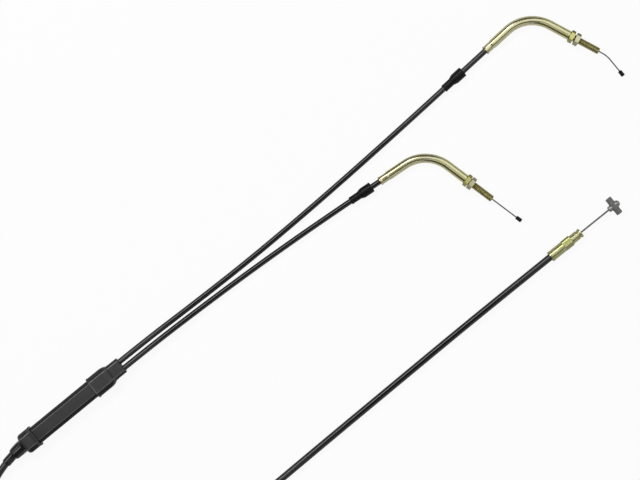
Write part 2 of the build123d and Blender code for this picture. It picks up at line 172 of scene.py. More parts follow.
def brightness(name, description, default):
    """How bright a light's face is."""
    return FloatProperty(name=name, description=description, default=default, min=0)


def colour(name, description, default):
    """A colour setting."""
    return FloatVectorProperty(
        name=name, description=description, default=default, subtype="COLOR", min=0, max=1
    )


# ---- what a user would change ----
class ConduitSettings(bpy.types.PropertyGroup):
    """Sizes and sheath of the three conduits"""

    main_diameter: length("Main diameter", "Across the lever's conduit", 0.0062)
    branch_diameter: length("Branch diameter", "Across a carburettor's conduit", 0.005)
    sheath: colour("Sheath", "Colour of the extruded sheath", (0.0035, 0.003, 0.004))
    sheath_roughness: share("Sheath roughness", "How rough the sheath is", 0.12)


class SplitterSettings(bpy.types.PropertyGroup):
    """Edges of the splitter and its boots, and what they are moulded from"""

    softness: length("Softness", "Size of the rounding on moulded edges", 0.0005)
    lip: length("Lip", "How far a boot's lip stands out", 0.0003)
    lip_length: length("Lip length", "Length of a boot's lip", 0.0013)
    moulding: colour("Moulding", "Colour of the splitter's body", (0.032, 0.032, 0.033))
    rubber: colour("Rubber", "Colour of the boots", (0.028, 0.028, 0.029))
    dust_rubber: colour("Dust boots", "Colour of the dust boots", (0.02, 0.02, 0.021))


class GuideSettings(bpy.types.PropertyGroup):
    """Sizes and plating of the bent guide tubes"""

    inlet_leg: length("Inlet leg", "From the inlet to the corner", 0.049)
    outlet_leg: length("Outlet leg", "From the corner to the outlet", 0.0425)
    bend_radius: length("Bend radius", "Radius of the tube's bend", 0.032)
    outer: length("Radius", "Outer radius of the tube", 0.00395)
    bore: length("Bore", "Radius of the tube's bore", 0.0028)
    crimped: length("Crimped radius", "Outer radius where it grips the conduit", 0.00365)
    crimp_end: length("Crimp end", "Where the crimp ends", 0.008)
    zinc: colour("Yellow zinc", "Main colour of the plating", (0.64, 0.61, 0.31))
    pale_zinc: colour("Pale zinc", "Colour of thin plating", (0.7, 0.67, 0.44))


class AdjusterSettings(bpy.types.PropertyGroup):
    """Sizes and plating of the adjusters and their lock nuts"""

    flats: length("Across flats", "Across the hexagons", span("long_lock_nut", 2))
    head_start: length("Head start", "Gap between tube and head", 0.0001)
    head: length("Head length", "Length of the hexagonal head", 0.0036)
    thread: length("Thread length", "Length of the threaded shank", 0.025)
    radius: length("Thread radius", "Radius over the thread's crests", 0.003)
    pitch: length("Pitch", "Pitch of the thread", 0.001)
    depth: length("Depth", "Depth of the thread", 0.0004)
    bore: length("Bore", "Radius of the wire's hole", 0.001)
    nut: length("Nut length", "Length of the lock nut", 0.0038)
    corner: length("Corner chamfer", "How far corners are turned off", 0.0005)
    head_zinc: colour("Head zinc", "Main colour of a head's plating", (0.6, 0.59, 0.2))
    pale_head_zinc: colour("Pale head zinc", "Thin plating on a head", (0.7, 0.68, 0.32))
    thread_zinc: colour("Thread zinc", "Main colour of a thread's plating", (0.4, 0.37, 0.13))
    pale_thread_zinc: colour("Pale thread zinc", "Thin plating on a thread", (0.51, 0.47, 0.22))
    nut_zinc: colour("Nut zinc", "Main colour of a nut's plating", (0.6, 0.58, 0.36))
    pale_nut_zinc: colour("Pale nut zinc", "Thin plating on a nut", (0.7, 0.68, 0.5))


class WireSettings(bpy.types.PropertyGroup):
    """Sizes and steel of the wires, and the nipples on them"""

    main_radius: length("Main radius", "Radius of the lever's wire", 0.0008)
    branch_radius: length("Branch radius", "Radius of a carburettor's wire", 0.0006)
    strands: IntProperty(name="Strands", description="Outer strands", default=6, min=3)
    lay: length("Lay", "Length of one turn of a strand", 0.008)
    nipple_radius: length("Nipple radius", "Radius of a carburettor nipple", 0.00175)
    nipple_length: length("Nipple length", "Length of a carburettor nipple", 0.0056)
    steel: colour("Steel", "Colour of the bare wires", (0.28, 0.27, 0.26))
    dark_steel: colour("Dark steel", "Colour of their darker streaks", (0.16, 0.155, 0.15))
    nipple: colour("Nipple", "Colour of a carburettor nipple", (0.03, 0.03, 0.032))
    dark_nipple: colour("Dark nipple", "Colour of its darker clouds", (0.008, 0.008, 0.009))


class LeverSettings(bpy.types.PropertyGroup):
    """Sizes and metals of the lever's end"""

    seat: length("Seat", "How deep the conduit sits in the ferrule", 0.013)
    exposed: length("Bare wire", "From the ferrule to the collar", 0.031)
    barrel_radius: length("Barrel radius", "Radius of the barrel's ends", 0.00285)
    barrel_length: length("Barrel length", "Length of the cross barrel", 0.01675)
    collar_radius: length("Collar radius", "Radius of the collar", 0.0026)
    dome_radius: length("Dome radius", "Radius of the domed nipple", 0.003)
    ferrule_zinc: colour("Ferrule zinc", "Main colour of its plating", (0.46, 0.47, 0.19))
    pale_ferrule_zinc: colour("Pale ferrule zinc", "Its thin plating", (0.58, 0.57, 0.34))
    cast: colour("Casting", "Colour of the cast barrel", (0.15, 0.15, 0.147))
    bright: colour("Bright metal", "Colour of the collar and dome", (0.36, 0.355, 0.34))


class StageSettings(bpy.types.PropertyGroup):
    """The camera's height, the floor and the lights"""

    height: length("Camera height", "Camera above the floor", 1.547)
    floor: length("Floor", "Side of the square floor", 8.0)
    key: brightness("Key", "Radiance of the key light", 5.0)
    fill: brightness("Fill", "Radiance of the fill light", 0.8)
    ends: brightness("Ends", "Radiance of the two end lights", 1.0)
    sky: share("Sky", "Strength of the light from all round", 0.1)
    shadow: share("Shadow", "How much of the shadow the floor shows", 0.08)
    mirrored: share("Mirrored white", "Share of plain white in the floor's reflections", 0.15)


# ---- finishes ----
# The Mix node's colour sockets, which share their names with its sockets for numbers.
MIX_FIRST, MIX_SECOND, MIX_COLOUR = 6, 7, 2
# How marks are stretched on a drawn tube, a turned ferrule and a cut hexagon or thread.
DRAWN, TURNED, CUT = (0.08, 1, 1), (1, 0.1, 0.1), (1, 0.2, 0.2)
# The colour that a thread's roots are made darker towards.
ROOT_DARK_COLOUR = (0.09, 0.07, 0.02)
# Painted shade: the dark brown given to a hexagon's side flats.
SIDE_PAINTED_SHADE = (0.16, 0.13, 0.07)
EDGE_WEAR_AND_HIGHLIGHT = 5.5  # how much lighter an edge is made, for wear and a painted highlight
BEVEL_PAINTED_SHADE = 0.25  # painted shade: how much darker a bevel's colour is made than the flats'
WHITE = (1, 1, 1, 1)
FLOOR_WHITE = (0.92, 0.92, 0.92, 1)


class Value:
    """What comes out of a node. Python's operators on it add Math nodes."""

    def __init__(self, nodes, socket):
        self.nodes = nodes
        self.socket = socket

    def maths(self, operation, first, second):
        """The Math node for an operation on two numbers."""
        return self.nodes.node("Math", {"operation": operation}, {0: first, 1: second})

    def __add__(self, other):
        return self.maths("ADD", self, other)

    __radd__ = __add__

    def __sub__(self, other):
        return self.maths("SUBTRACT", self, other)

    def __rsub__(self, other):
        return self.maths("SUBTRACT", other, self)

    def __mul__(self, other):
        return self.maths("MULTIPLY", self, other)

    __rmul__ = __mul__

    def __pow__(self, other):
        return self.maths("POWER", self, other)


class Nodes:
    """The nodes of a material or of the world."""

    def __init__(self, owner):
        owner.use_nodes = True
        self.owner = owner
        self.tree = owner.node_tree
        self.tree.nodes.clear()

    def node(self, kind, choices=None, inputs=None, output=0):
        """Adds a node, makes its choices, feeds its sockets and gives one output."""
        made = self.tree.nodes.new("ShaderNode" + kind)
        for choice, value in (choices or {}).items():
            if choice == "stops":
                ramp = made.color_ramp.elements
                while len(ramp) < len(value):
                    ramp.new(1.0)
                for stop, (position, shade) in zip(ramp, value):
                    stop.position = position
                    stop.color = (*shade, 1)
            else:
                setattr(made, choice, value)
        for socket, value in (inputs or {}).items():
            if isinstance(value, Value):
                self.tree.links.new(value.socket, made.inputs[socket])
            else:
                made.inputs[socket].default_value = value
        return Value(self, made.outputs[output]) if made.outputs else None


class Finish(Nodes):
    """The nodes of one finish round a Principled shader."""

    def __init__(self, name, **fixed):
        super().__init__(bpy.data.materials.new(name))
        sockets = {socket.replace("_", " "): value for socket, value in fixed.items()}
        self.shader = self.node("BsdfPrincipled", inputs=sockets)

    def shown(self, surface):
        """Ends the nodes with the surface that shows, and gives the material."""
        self.node("OutputMaterial", inputs={"Surface": surface})
        return self.owner

    def feed(self, **sockets):
        """Links values to the shader's sockets, and gives the material."""
        inputs = self.shader.socket.node.inputs
        for socket, value in sockets.items():
            self.tree.links.new(value.socket, inputs[socket.replace("_", " ")])
        return self.shown(self.shader)

    def unbent(self, stretch=(1, 1, 1)):
        """Where a point lies on the piece, in the piece's own unbent lengths."""
        where = self.node("Attribute", {"attribute_name": "unbent"}, output="Vector")
        return self.node("VectorMath", {"operation": "MULTIPLY"}, {0: where, 1: stretch})

    def room(self):
        """Where a point lies in the object's own space."""
        return self.node("TexCoord", output="Object")

    def mark(self, name):
        """A number stored on the piece's points."""
        return self.node("Attribute", {"attribute_name": name}, output="Fac")

    def noise(self, where, scale, detail=2.0, roughness=0.5):
        """Clouds or grain, finer where the scale is higher."""
        inputs = {"Vector": where, "Scale": scale, "Detail": detail, "Roughness": roughness}
        return self.node("TexNoise", None, inputs)

    def ramp(self, factor, *stops):
        """A colour that follows a number through (position, colour) stops."""
        return self.node("ValToRGB", {"stops": stops}, {0: factor})

    def mixed(self, factor, first, second):
        """A colour between two colours."""
        first = first if isinstance(first, Value) else (*first, 1)
        second = second if isinstance(second, Value) else (*second, 1)
        inputs = {0: factor, MIX_FIRST: first, MIX_SECOND: second}
        return self.node("Mix", {"data_type": "RGBA"}, inputs, MIX_COLOUR)

    def bumped(self, height, depth, strength=1.0, over=None):
        """Relief of a depth in metres, over other relief where there is any."""
        inputs = {"Height": height, "Distance": depth, "Strength": strength}
        if over is not None:
            inputs["Normal"] = over
        return self.node("Bump", None, inputs)


def shaded(shade, factor):
    """A colour made lighter or darker."""
    return tuple(min(1.0, part * factor) for part in shade)


def sheath_finish(name):
    """Extruded plastic with faint smears and a fine grain."""
    cable = settings("cable_conduits")
    f = Finish(name, Specular_IOR_Level=0.7)
    room = f.room()
    cloud = f.noise(room, 24, 3)
    fine = f.noise(room, 1400, 3)
    smear = f.noise(room, 45, 3)
    base = f.mixed(cloud, shaded(cable.sheath, 0.8), shaded(cable.sheath, 1.35))
    rough = cable.sheath_roughness - 0.03 + 0.06 * smear + 0.02 * fine
    relief = f.bumped(fine, 0.000002, 0.35)
    return f.feed(Base_Color=base, Roughness=rough, Normal=relief)


def worn(f, shade, cloud, dark, light):
    """A clouded colour with painted shade on bevels, and lighter along edges for wear and a painted highlight; a
    piece with no flat mark gets the painted shade all over.
    """
    base = f.mixed(cloud, shaded(shade, dark), shaded(shade, light))
    # Painted shade: the bevels are made darker than the flats.
    base = f.mixed(f.mark("flat"), shaded(shade, BEVEL_PAINTED_SHADE), base)
    # Wear and a painted highlight: the edges are made lighter.
    return f.mixed(f.mark("edge") * (0.3 + 0.7 * cloud), base, shaded(shade, EDGE_WEAR_AND_HIGHLIGHT))


def moulding_finish(name):
    """Moulded plastic, shinier on its bevels than on its flats."""
    f = Finish(name, Specular_IOR_Level=0.4)
    room = f.room()
    grain = f.noise(room, 3800)
    cloud = f.noise(room, 160, 4, 0.6)
    base = worn(f, settings("cable_splitter").moulding, cloud, 0.82, 1.2)
    rough = 0.15 + 0.26 * f.mark("flat") ** 3 + 0.08 * cloud + 0.05 * grain
    relief = f.bumped(grain, 0.00004, 0.5, f.bumped(cloud, 0.0002, 0.15))
    return f.feed(Base_Color=base, Roughness=rough, Normal=relief)


def rubber_finish(name, shade, rough_from, shine):
    """Moulded rubber with bloom on it."""
    f = Finish(name, Specular_IOR_Level=shine)
    room = f.room()
    grain = f.noise(room, 2600, 3, 0.6)
    bloom = f.noise(room, 220, 4, 0.65)
    base = worn(f, shade, bloom, 0.75, 1.3)
    rough = rough_from + 0.22 * f.mark("flat") ** 3 + 0.1 * bloom + 0.05 * grain
    relief = f.bumped(grain, 0.000008, 0.3, f.bumped(bloom, 0.0001, 0.2))
    return f.feed(Base_Color=base, Roughness=rough, Normal=relief)


def boot_finish(name):
    """Smooth rubber."""
    return rubber_finish(name, settings("cable_splitter").rubber, rough_from=0.13, shine=0.5)


def dust_boot_finish(name):
    """Dull rubber."""
    # The dust boots carry no flat mark, so the bevels' painted shade darkens them all over.
    shade = settings("cable_splitter").dust_rubber
    return rubber_finish(name, shade, rough_from=0.28, shine=0.2)


def zinc_finish(name, main, thin, rough_from, stretch, root_dark=0.0, side_shade=0.0):
    """Yellow-passivated zinc: clouds of thicker and thinner plating over drawing marks, with painted shade on a
    hexagon's sides and darker thread roots where asked.
    """
    f = Finish(name, Metallic=1.0, Specular_Tint=(0.3, 0.28, 0.2, 1))
    cloud = f.noise(f.unbent((0.35, 1, 1)), 190, 4, 0.6)
    streak = f.noise(f.unbent(stretch), 1500, 3, 0.6)
    speck = f.noise(f.unbent(), 2600)
    rosy = (main[0] * 1.04, main[1] * 0.95, main[2] * 1.3)
    green = (main[0] * 0.88, main[1], main[2] * 0.9)
    dark = shaded(main, 0.88)
    base = f.ramp(cloud, (0.2, dark), (0.42, main), (0.6, thin), (0.74, rosy), (0.9, green))
    base = f.mixed(streak * 0.14, base, shaded(main, 0.7))
    # Darker towards the thread's roots.
    if root_dark:
        base = f.mixed(f.mark("groove") * root_dark, base, ROOT_DARK_COLOUR)
    # Painted shade: a hexagon's side flats are made darker.
    if side_shade:
        base = f.mixed(f.mark("side") * side_shade, base, SIDE_PAINTED_SHADE)
    rough = rough_from + 0.06 * streak + 0.04 * speck
    relief = f.bumped(streak, 0.000001, 0.3)
    return f.feed(Base_Color=base, Roughness=rough, Normal=relief)


def guide_finish(name):
    """Plating on a drawn tube."""
    guide = settings("cable_guides")
    return zinc_finish(name, guide.zinc, guide.pale_zinc, 0.15, DRAWN)


def ferrule_finish(name):
    """Plating on a turned ferrule, with painted shade on its sides."""
    lever = settings("cable_lever")
    zinc, pale = lever.ferrule_zinc, lever.pale_ferrule_zinc
    return zinc_finish(name, zinc, pale, 0.24, TURNED, side_shade=0.4)


def head_finish(name):
    """Plating on an adjuster's head, with painted shade on its sides."""
    size = settings("cable_adjusters")
    return zinc_finish(name, size.head_zinc, size.pale_head_zinc, 0.2, CUT, side_shade=0.65)


def thread_finish(name):
    """Plating on a thread, darker in its roots."""
    size = settings("cable_adjusters")
    return zinc_finish(name, size.thread_zinc, size.pale_thread_zinc, 0.27, CUT, root_dark=0.3)


def nut_finish(name):
    """Plating on a lock nut, with painted shade on its sides."""
    size = settings("cable_adjusters")
    return zinc_finish(name, size.nut_zinc, size.pale_nut_zinc, 0.2, CUT, side_shade=0.6)


def wire_finish(name):
    """Steel strands with dark grooves."""
    size = settings("cable_wires")
    f = Finish(name, Metallic=1.0)
    streak = f.noise(f.unbent((0.2, 1, 1)), 3000, 3)
    base = f.mixed(streak, size.dark_steel, size.steel)
    base = f.mixed(f.mark("groove") * 0.8, base, (0.03, 0.03, 0.03))
    return f.feed(Base_Color=base, Roughness=0.3 + 0.15 * streak)


def cast_finish(name):
    """Gritty cast metal."""
    f = Finish(name, Metallic=0.25)
    cast = settings("cable_lever").cast
    grit = f.noise(f.unbent(), 1500, 4, 0.7)
    cloud = f.noise(f.unbent(), 420, 3)
    base = f.mixed(grit, shaded(cast, 0.6), shaded(cast, 1.7))
    rough = 0.42 + 0.2 * cloud
    relief = f.bumped(grit, 0.00012, 0.7)
    return f.feed(Base_Color=base, Roughness=rough, Normal=relief)


def bright_finish(name):
    """Metal with turning marks round it."""
    f = Finish(name, Metallic=1.0)
    bright = settings("cable_lever").bright
    marks = f.noise(f.unbent((1, 0.06, 0.06)), 4200)
    cloud = f.noise(f.unbent(), 500, 3)
    base = f.mixed(cloud, shaded(bright, 0.7), shaded(bright, 1.25))
    rough = 0.3 + 0.1 * marks
    return f.feed(Base_Color=base, Roughness=rough, Normal=f.bumped(marks, 0.00002, 0.5))


def nipple_finish(name):
    """Dark, clouded metal."""
    size = settings("cable_wires")
    f = Finish(name, Metallic=0.9)
    cloud = f.noise(f.unbent(), 900, 3)
    base = f.mixed(cloud, size.dark_nipple, size.nipple)
    relief = f.bumped(cloud, 0.00005, 0.3)
    return f.feed(Base_Color=base, Roughness=0.2 + 0.16 * cloud, Normal=relief)


def inner_finish(name, dark, light, metallic, rough_from):
    """A finish for solids that the outer pieces hide."""
    f = Finish(name, Metallic=metallic)
    room = f.room()
    cloud = f.noise(room, 260, 3)
    grain = f.noise(room, 2400)
    base = f.mixed(cloud, dark, light)
    rough = rough_from + 0.12 * grain
    return f.feed(Base_Color=base, Roughness=rough, Normal=f.bumped(grain, 0.00003, 0.4))


def acetal_finish(name):
    """The slider's pale plastic."""
    return inner_finish(name, (0.66, 0.65, 0.6), (0.76, 0.75, 0.7), 0.0, 0.35)


def plug_finish(name):
    """The end plugs' dark plastic."""
    return inner_finish(name, (0.028, 0.028, 0.03), (0.045, 0.045, 0.047), 0.0, 0.4)


def cap_finish(name):
    """The conduit caps' metal."""
    return inner_finish(name, (0.5, 0.5, 0.49), (0.62, 0.62, 0.61), 1.0, 0.28)


def liner_finish(name):
    """The liners' white plastic."""
    return inner_finish(name, (0.78, 0.77, 0.72), (0.88, 0.87, 0.83), 0.0, 0.3)


def strand_finish(name):
    """The inner wires' steel."""
    return inner_finish(name, (0.3, 0.3, 0.31), (0.46, 0.46, 0.47), 1.0, 0.3)


def solder_finish(name):
    """The inner nipples' solder."""
    return inner_finish(name, (0.3, 0.3, 0.29), (0.42, 0.42, 0.4), 1.0, 0.35)


def finished(piece, maker):
    """Gives a piece its finish, which is made once."""
    name = maker.__name__.replace("_finish", "")
    material = bpy.data.materials.get(name) or maker(name)
    piece.data.materials.clear()
    piece.data.materials.append(material)
    return piece


# ---- shapes ----
def facing(x):
    """The turn that points X along a unit vector, with Z as near up as it goes."""
    y = UP.cross(x).normalized()
    return Matrix((x, y, x.cross(y))).transposed().to_4x4()


def place(origin, along):
    """The frame of a piece that lies at origin and points along a level direction."""
    return Matrix.Translation(Vector(origin)) @ facing(Vector(along).normalized())


def rounded(start, corner, end, t):
    """A point on the curve that rounds a corner, from start at 0 to end at 1."""
    return start * (1 - t) ** 2 + corner * 2 * t * (1 - t) + end * t**2


def round_x(x, radius, angle):
    """A point at an angle round the X axis."""
    return Vector((x, radius * math.cos(angle), radius * math.sin(angle)))


def ring(x, radius, across=0.0, phase=0.0, twist=0.0):
    """Points round the X axis, cut to a hexagon's flats where across is given."""
    points = []
    for k in range(SIDES):
        angle = math.tau * k / SIDES + phase
        r = radius
        if across:
            flat = across / 2 / math.cos((angle - twist) % (math.pi / 3) - math.pi / 6)
            r = min(r, flat)
        points.append(round_x(x, r, angle))
    return points


def bar_ring(x, width, height, bevel, corner):
    """Points round a bar whose four long edges are bevelled and all corners eased."""
    w, h = width / 2, height / 2
    corners = [
        (w, h - bevel), (w - bevel, h), (bevel - w, h), (-w, h - bevel),
        (-w, bevel - h), (bevel - w, -h), (w - bevel, -h), (w, bevel - h),
    ]
    points = []
    for i, (y, z) in enumerate(corners):
        here = Vector((x, y, z))
        before = Vector((x, *corners[i - 1])) - here
        after = Vector((x, *corners[(i + 1) % len(corners)])) - here
        reach = min(corner, before.length * CORNER_SHARE, after.length * CORNER_SHARE)
        start = here + before.normalized() * reach
        end = here + after.normalized() * reach
        for k in range(CORNER_STEPS):
            points.append(rounded(start, here, end, k / (CORNER_STEPS - 1)))
    return points


# What a bar's ring stores: flat is 1 on its four faces and falls to 0 on its bevels, and edge is 1 along the
# rounded corners between them. From them the bevels get painted shade, and the edges get wear and a painted
# highlight.
TOWARDS_FACE = [k / (CORNER_STEPS - 1) for k in range(CORNER_STEPS)]
FLAT_MARKS = (TOWARDS_FACE[::-1] + TOWARDS_FACE) * 4
EDGE_MARKS = [4 * flat * (1 - flat) for flat in FLAT_MARKS]
NO_MARKS = [0.0] * SIDES
LOFT_PHASE = math.pi / SIDES  # turns a round ring to face the points of a bar's ring
LIP_RINGS = 4  # how many of a boot's first rings are its lip


def eased(profile, size, closed):
    """A profile of (x, radius, across) whose corners are rounded by about size."""
    out = []
    count = len(profile)
    for i, (x, r, across) in enumerate(profile):
        here = Vector((x, r))
        ends = not closed and i in (0, count - 1)
        before = Vector(profile[i - 1][:2]) - here
        after = Vector(profile[(i + 1) % count][:2]) - here
        straight = before.length and after.length and abs(before.angle(after) - math.pi) < 0.02
        if ends or straight or size == 0:
            out.append((x, r, across))
            continue
        start = here + before.normalized() * min(size, before.length * CORNER_SHARE)
        end = here + after.normalized() * min(size, after.length * CORNER_SHARE)
        for t in (0, 0.33, 0.67, 1):
            point = rounded(start, here, end, t)
            out.append((point.x, point.y, across))
    return out


def linked(name, data):
    """A new object in the scene."""
    made = bpy.data.objects.new(name, data)
    bpy.context.scene.collection.objects.link(made)
    return made


def skinned(name, rings, hollow, marks=None, unbent=None, crease=32):
    """A mesh piece from rings of points, joined end to end if hollow, or capped.

    It stores the marks, and where each point lies before the piece is bent.
    """
    count = len(rings[0])
    points = [p for r in rings for p in r]
    faces = []
    for i in range(len(rings) if hollow else len(rings) - 1):
        a = i * count
        b = (i + 1) % len(rings) * count
        for k in range(count):
            n = (k + 1) % count
            faces.append((a + k, a + n, b + n, b + k))
    if not hollow:
        faces.append(tuple(reversed(range(count))))
        faces.append(tuple(range(len(points) - count, len(points))))
    mesh = bpy.data.meshes.new(name)
    mesh.from_pydata(points, [], faces)
    for polygon in mesh.polygons:
        polygon.use_smooth = True
    mesh.set_sharp_from_angle(angle=math.radians(crease))
    straight = [p for r in (unbent or rings) for p in r]
    where = mesh.attributes.new("unbent", "FLOAT_VECTOR", "POINT")
    where.data.foreach_set("vector", [part for p in straight for part in p])
    for mark, values in (marks or {}).items():
        stored = mesh.attributes.new(mark, "FLOAT", "POINT")
        stored.data.foreach_set("value", values)
    return linked(name, mesh)


def settled(piece, maker, where, body, slot, *nodes):
    """Puts a piece in its place, on its body, for its solids, in its finish."""
    piece.matrix_world = where
    bpy.context.view_layer.update()
    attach(piece, body)
    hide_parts(*nodes)
    return finished(piece, maker)


def turned(name, profile, ease, hollow=False, twist=0.0):
    """A piece turned about its X axis, from (x, radius) or (x, radius, across).

    A hexagon's flats that don't lie at its top or bottom are marked as its sides, where the plating gets painted
    shade.
    """
    profile = eased([(*p, 0.0)[:3] for p in profile], ease, hollow)
    rings = [ring(*p, 0.0, twist) for p in profile]
    top_starts = math.cos(math.pi / 6) - 0.01
    sides = []
    for _, _, across in profile:
        for k in range(SIDES):
            up = abs(math.sin(math.tau * k / SIDES - twist))
            sides.append(1.0 if across and up < top_starts else 0.0)
    return skinned(name, rings, hollow, {"side": sides})


def hexagon_profile(start, end, across, corner):
    """The outside of a hexagon whose corners are turned off at both ends."""
    full = across / math.sqrt(3)
    drop = corner * math.tan(math.radians(30))
    steps = 5
    profile = []
    for k in range(steps):
        t = k / (steps - 1)
        profile.append((start + drop * t, full - corner * (1 - t), across))
    return profile + [(start + end - x, r, a) for x, r, a in reversed(profile)]


class Line:
    """A line of points with a frame at any distance along it."""

    def __init__(self, points):
        self.points = [Vector(p) for p in points]
        self.marks = [0.0]
        for a, b in zip(self.points, self.points[1:]):
            self.marks.append(self.marks[-1] + (b - a).length)
        self.total = self.marks[-1]

    def at(self, distance):
        """The frame at a distance, with X along the line and Z as near up as it goes."""
        d = min(max(distance, 0), self.total)
        i = max(k for k, m in enumerate(self.marks[:-1]) if m <= d)
        a, b = self.points[i], self.points[i + 1]
        before = self.points[i - 1] if i > 0 else a - (b - a)
        after = self.points[i + 2] if i + 2 < len(self.points) else b + (b - a)
        t = (d - self.marks[i]) / (b - a).length
        here = ((b - a) + (a - before)).normalized()
        there = ((b - a) + (after - b)).normalized()
        x = here.lerp(there, t).normalized()
        spot = a.lerp(b, t) + x * (distance - d)
        return Matrix.Translation(spot) @ facing(x)

    def bent(self, rings):
        """Rings drawn about the X axis, laid along the line."""
        out = []
        for r in rings:
            here = self.at(r[0].x)
            out.append([here @ Vector((0, p.y, p.z)) for p in r])
        return out


def spline_line(conduit, first):
    """The line of a conduit's own spline, after a point put before it."""
    bare = conduit.copy()
    bare.data = conduit.data.copy()
    bare.data.bevel_depth = 0
    bpy.context.scene.collection.objects.link(bare)
    graph = bpy.context.evaluated_depsgraph_get()
    mesh = bpy.data.meshes.new_from_object(bare.evaluated_get(graph))
    points = [v.co.copy() for v in mesh.vertices]
    bpy.data.objects.remove(bare)
    bpy.data.meshes.remove(mesh)
    return Line([first] + points)


def stranded(name, line, radius, start, end):
    """A wire of twisted strands along a line, with the grooves marked."""
    wire = settings("cable_wires")
    count = max(2, round((end - start) / (0.4 * MM)))
    sides = SIDES // 2
    groove = 0.16  # depth of the grooves, as a share of the radius
    rings, marks = [], []
    for i in range(count + 1):
        s = start + (end - start) * i / count
        points = []
        for k in range(sides):
            angle = math.tau * k / sides
            lobe = abs(math.cos(wire.strands / 2 * (angle - math.tau * s / wire.lay)))
            points.append(round_x(s, radius * (1 - groove + groove * lobe), angle))
            marks.append((1 - lobe) ** 2)
        rings.append(points)
    return skinned(name, line.bent(rings), False, {"groove": marks}, rings, crease=80)


class Guide:
    """Where a branch's guide tube and what is on it lie."""

    def __init__(self, name):
        guide = settings("cable_guides")
        self.name = name
        self.way_in = Vector(joint(f"{name}_boot_slide")["axis"])
        turning = joint(f"{name}_adjuster_turn")
        self.way_out = Vector(turning["axis"])
        self.outlet = Vector(turning["pos_m"])
        self.corner = self.outlet - self.way_out * guide.outlet_leg
        self.inlet = self.corner - self.way_in * guide.inlet_leg
        self.inlet_place = place(self.inlet, self.way_in)
        self.outlet_place = place(self.outlet, self.way_out)

    def line(self):
        """The tube's middle line in the inlet's frame."""
        radius = settings("cable_guides").bend_radius
        turn = self.way_in.angle(self.way_out)
        back = radius * math.tan(turn / 2)
        corner = self.corner - self.inlet
        start = corner - self.way_in * back
        centre = start + self.way_in.cross(UP) * radius
        points = [Vector((0, 0, 0)), start * 0.5]
        steps = 32
        for k in range(steps + 1):
            spin = Matrix.Rotation(-turn * k / steps, 3, "Z")
            points.append(centre + spin @ (start - centre))
        end = self.outlet - self.inlet
        points += [points[-1].lerp(end, 0.5), end]
        level = self.inlet_place.to_3x3().inverted()
        return Line([level @ p for p in points])

    def mouth(self):
        """How far the adjuster's mouth lies from the tube's outlet."""
        screw = settings("cable_adjusters")
        return screw.head_start + screw.head + screw.thread

    def wire_points(self):
        """The bare wire's middle line in the outlet's frame, and the way it ends."""
        mounts = frame["record"]["mounts"]
        mount = next(m for m in mounts if m["name"] == f"{self.name}_carb_nipple")
        along = Vector(mount["axis"])
        half = mount["dims"]["length_mm"] * MM / 2
        chamfer = settings("cable_wires").nipple_length - 2 * half
        to_local = self.outlet_place.inverted()
        seat = to_local @ (Vector(mount["pos_m"]) - along * (half + chamfer))
        mouth = Vector((self.mouth(), 0, 0))
        way = to_local.to_3x3() @ along
        turn = way.angle(Vector((1, 0, 0)))
        if turn < 0.01:
            return [mouth, seat], way
        corner = seat - way * (-seat.y / math.sin(turn))
        back = 25 * MM * math.tan(turn / 2)  # a bend of 25 mm
        start = corner - Vector((back, 0, 0))
        end = corner + way * back
        steps = 16
        curve = [rounded(start, corner, end, k / steps) for k in range(steps + 1)]
        return [mouth, *curve, seat], way


def bell_rings(rear, width, height, bevel):
    """The outside of a boot's bell, from its lip to the start of its shoulder."""
    boot = settings("cable_splitter")
    soft = boot.softness * 1.6
    lip, lip_end = boot.lip, boot.lip_length
    stations = [
        (0.0, 0.5 * MM),
        (0.15 * MM, 0.2 * MM),
        (0.5 * MM, 0.0),
        (lip_end - 0.3 * MM, 0.0),
        (lip_end, lip * 0.35),
        (lip_end + 0.35 * MM, lip),
        (rear * 0.45, lip),
        (rear, lip),
    ]
    return [bar_ring(x, width - 2 * i, height - 2 * i, bevel, soft) for x, i in stations]


def pocket_rings(depth):
    """The inside of a boot's bell, from the bottom of its pocket to its mouth."""
    narrow, wide = (15.4, 9.8, 2.4), (16, 12.4, 3.2)  # width, height and bevel
    stations = ((depth, *narrow), (9, *narrow), (9, *wide), (0, *wide))
    return [bar_ring(x * MM, w * MM, h * MM, b * MM, 0.2 * MM) for x, w, h, b in stations]


# ---- operators ----
class CABLE_OT_dust_boots(bpy.types.Operator):
    """Mould the dust boots that slide on the branch conduits"""

    bl_idname = "cable.mould_dust_boots"
    bl_label = "Mould Dust Boots"

    def execute(self, context):
        hole = settings("cable_conduits").branch_diameter / 2 + 0.12 * MM
        half_length = 11.1 * MM
        outside = [
            (-22.2, 3.3), (-21.7, 3.5), (-20.9, 3.5), (-20.5, 3.38), (-12.9, 3.42),
            (-12.6, 3.85), (-11.7, 3.9), (-11.2, 4.1), (-10.3, 4.5), (-9.2, 4.68),
            (-1.4, 4.7), (-1.2, 4.7), (-0.2, 4.7), (0, 4.55),
        ]
        profile = [(-22.2 * MM, hole)]
        profile += [(x * MM, r * MM) for x, r in outside]
        profile += [(0, 4.1 * MM), (-9 * MM, 4.1 * MM), (-9 * MM, hole)]
        for name in BRANCHES:
            guide = Guide(name)
            node = f"{name}_dust_boot"
            ahead = (middle(node) - guide.inlet).dot(guide.way_in) + half_length
            where = place(guide.inlet + guide.way_in * ahead, guide.way_in)
            boot = turned(f"{name}_dust_boot_rubber", profile, 0.2 * MM, hollow=True)
            settled(boot, dust_boot_finish, where, f"{name}_boot", "boot_rubber", node)
        return {"FINISHED"}


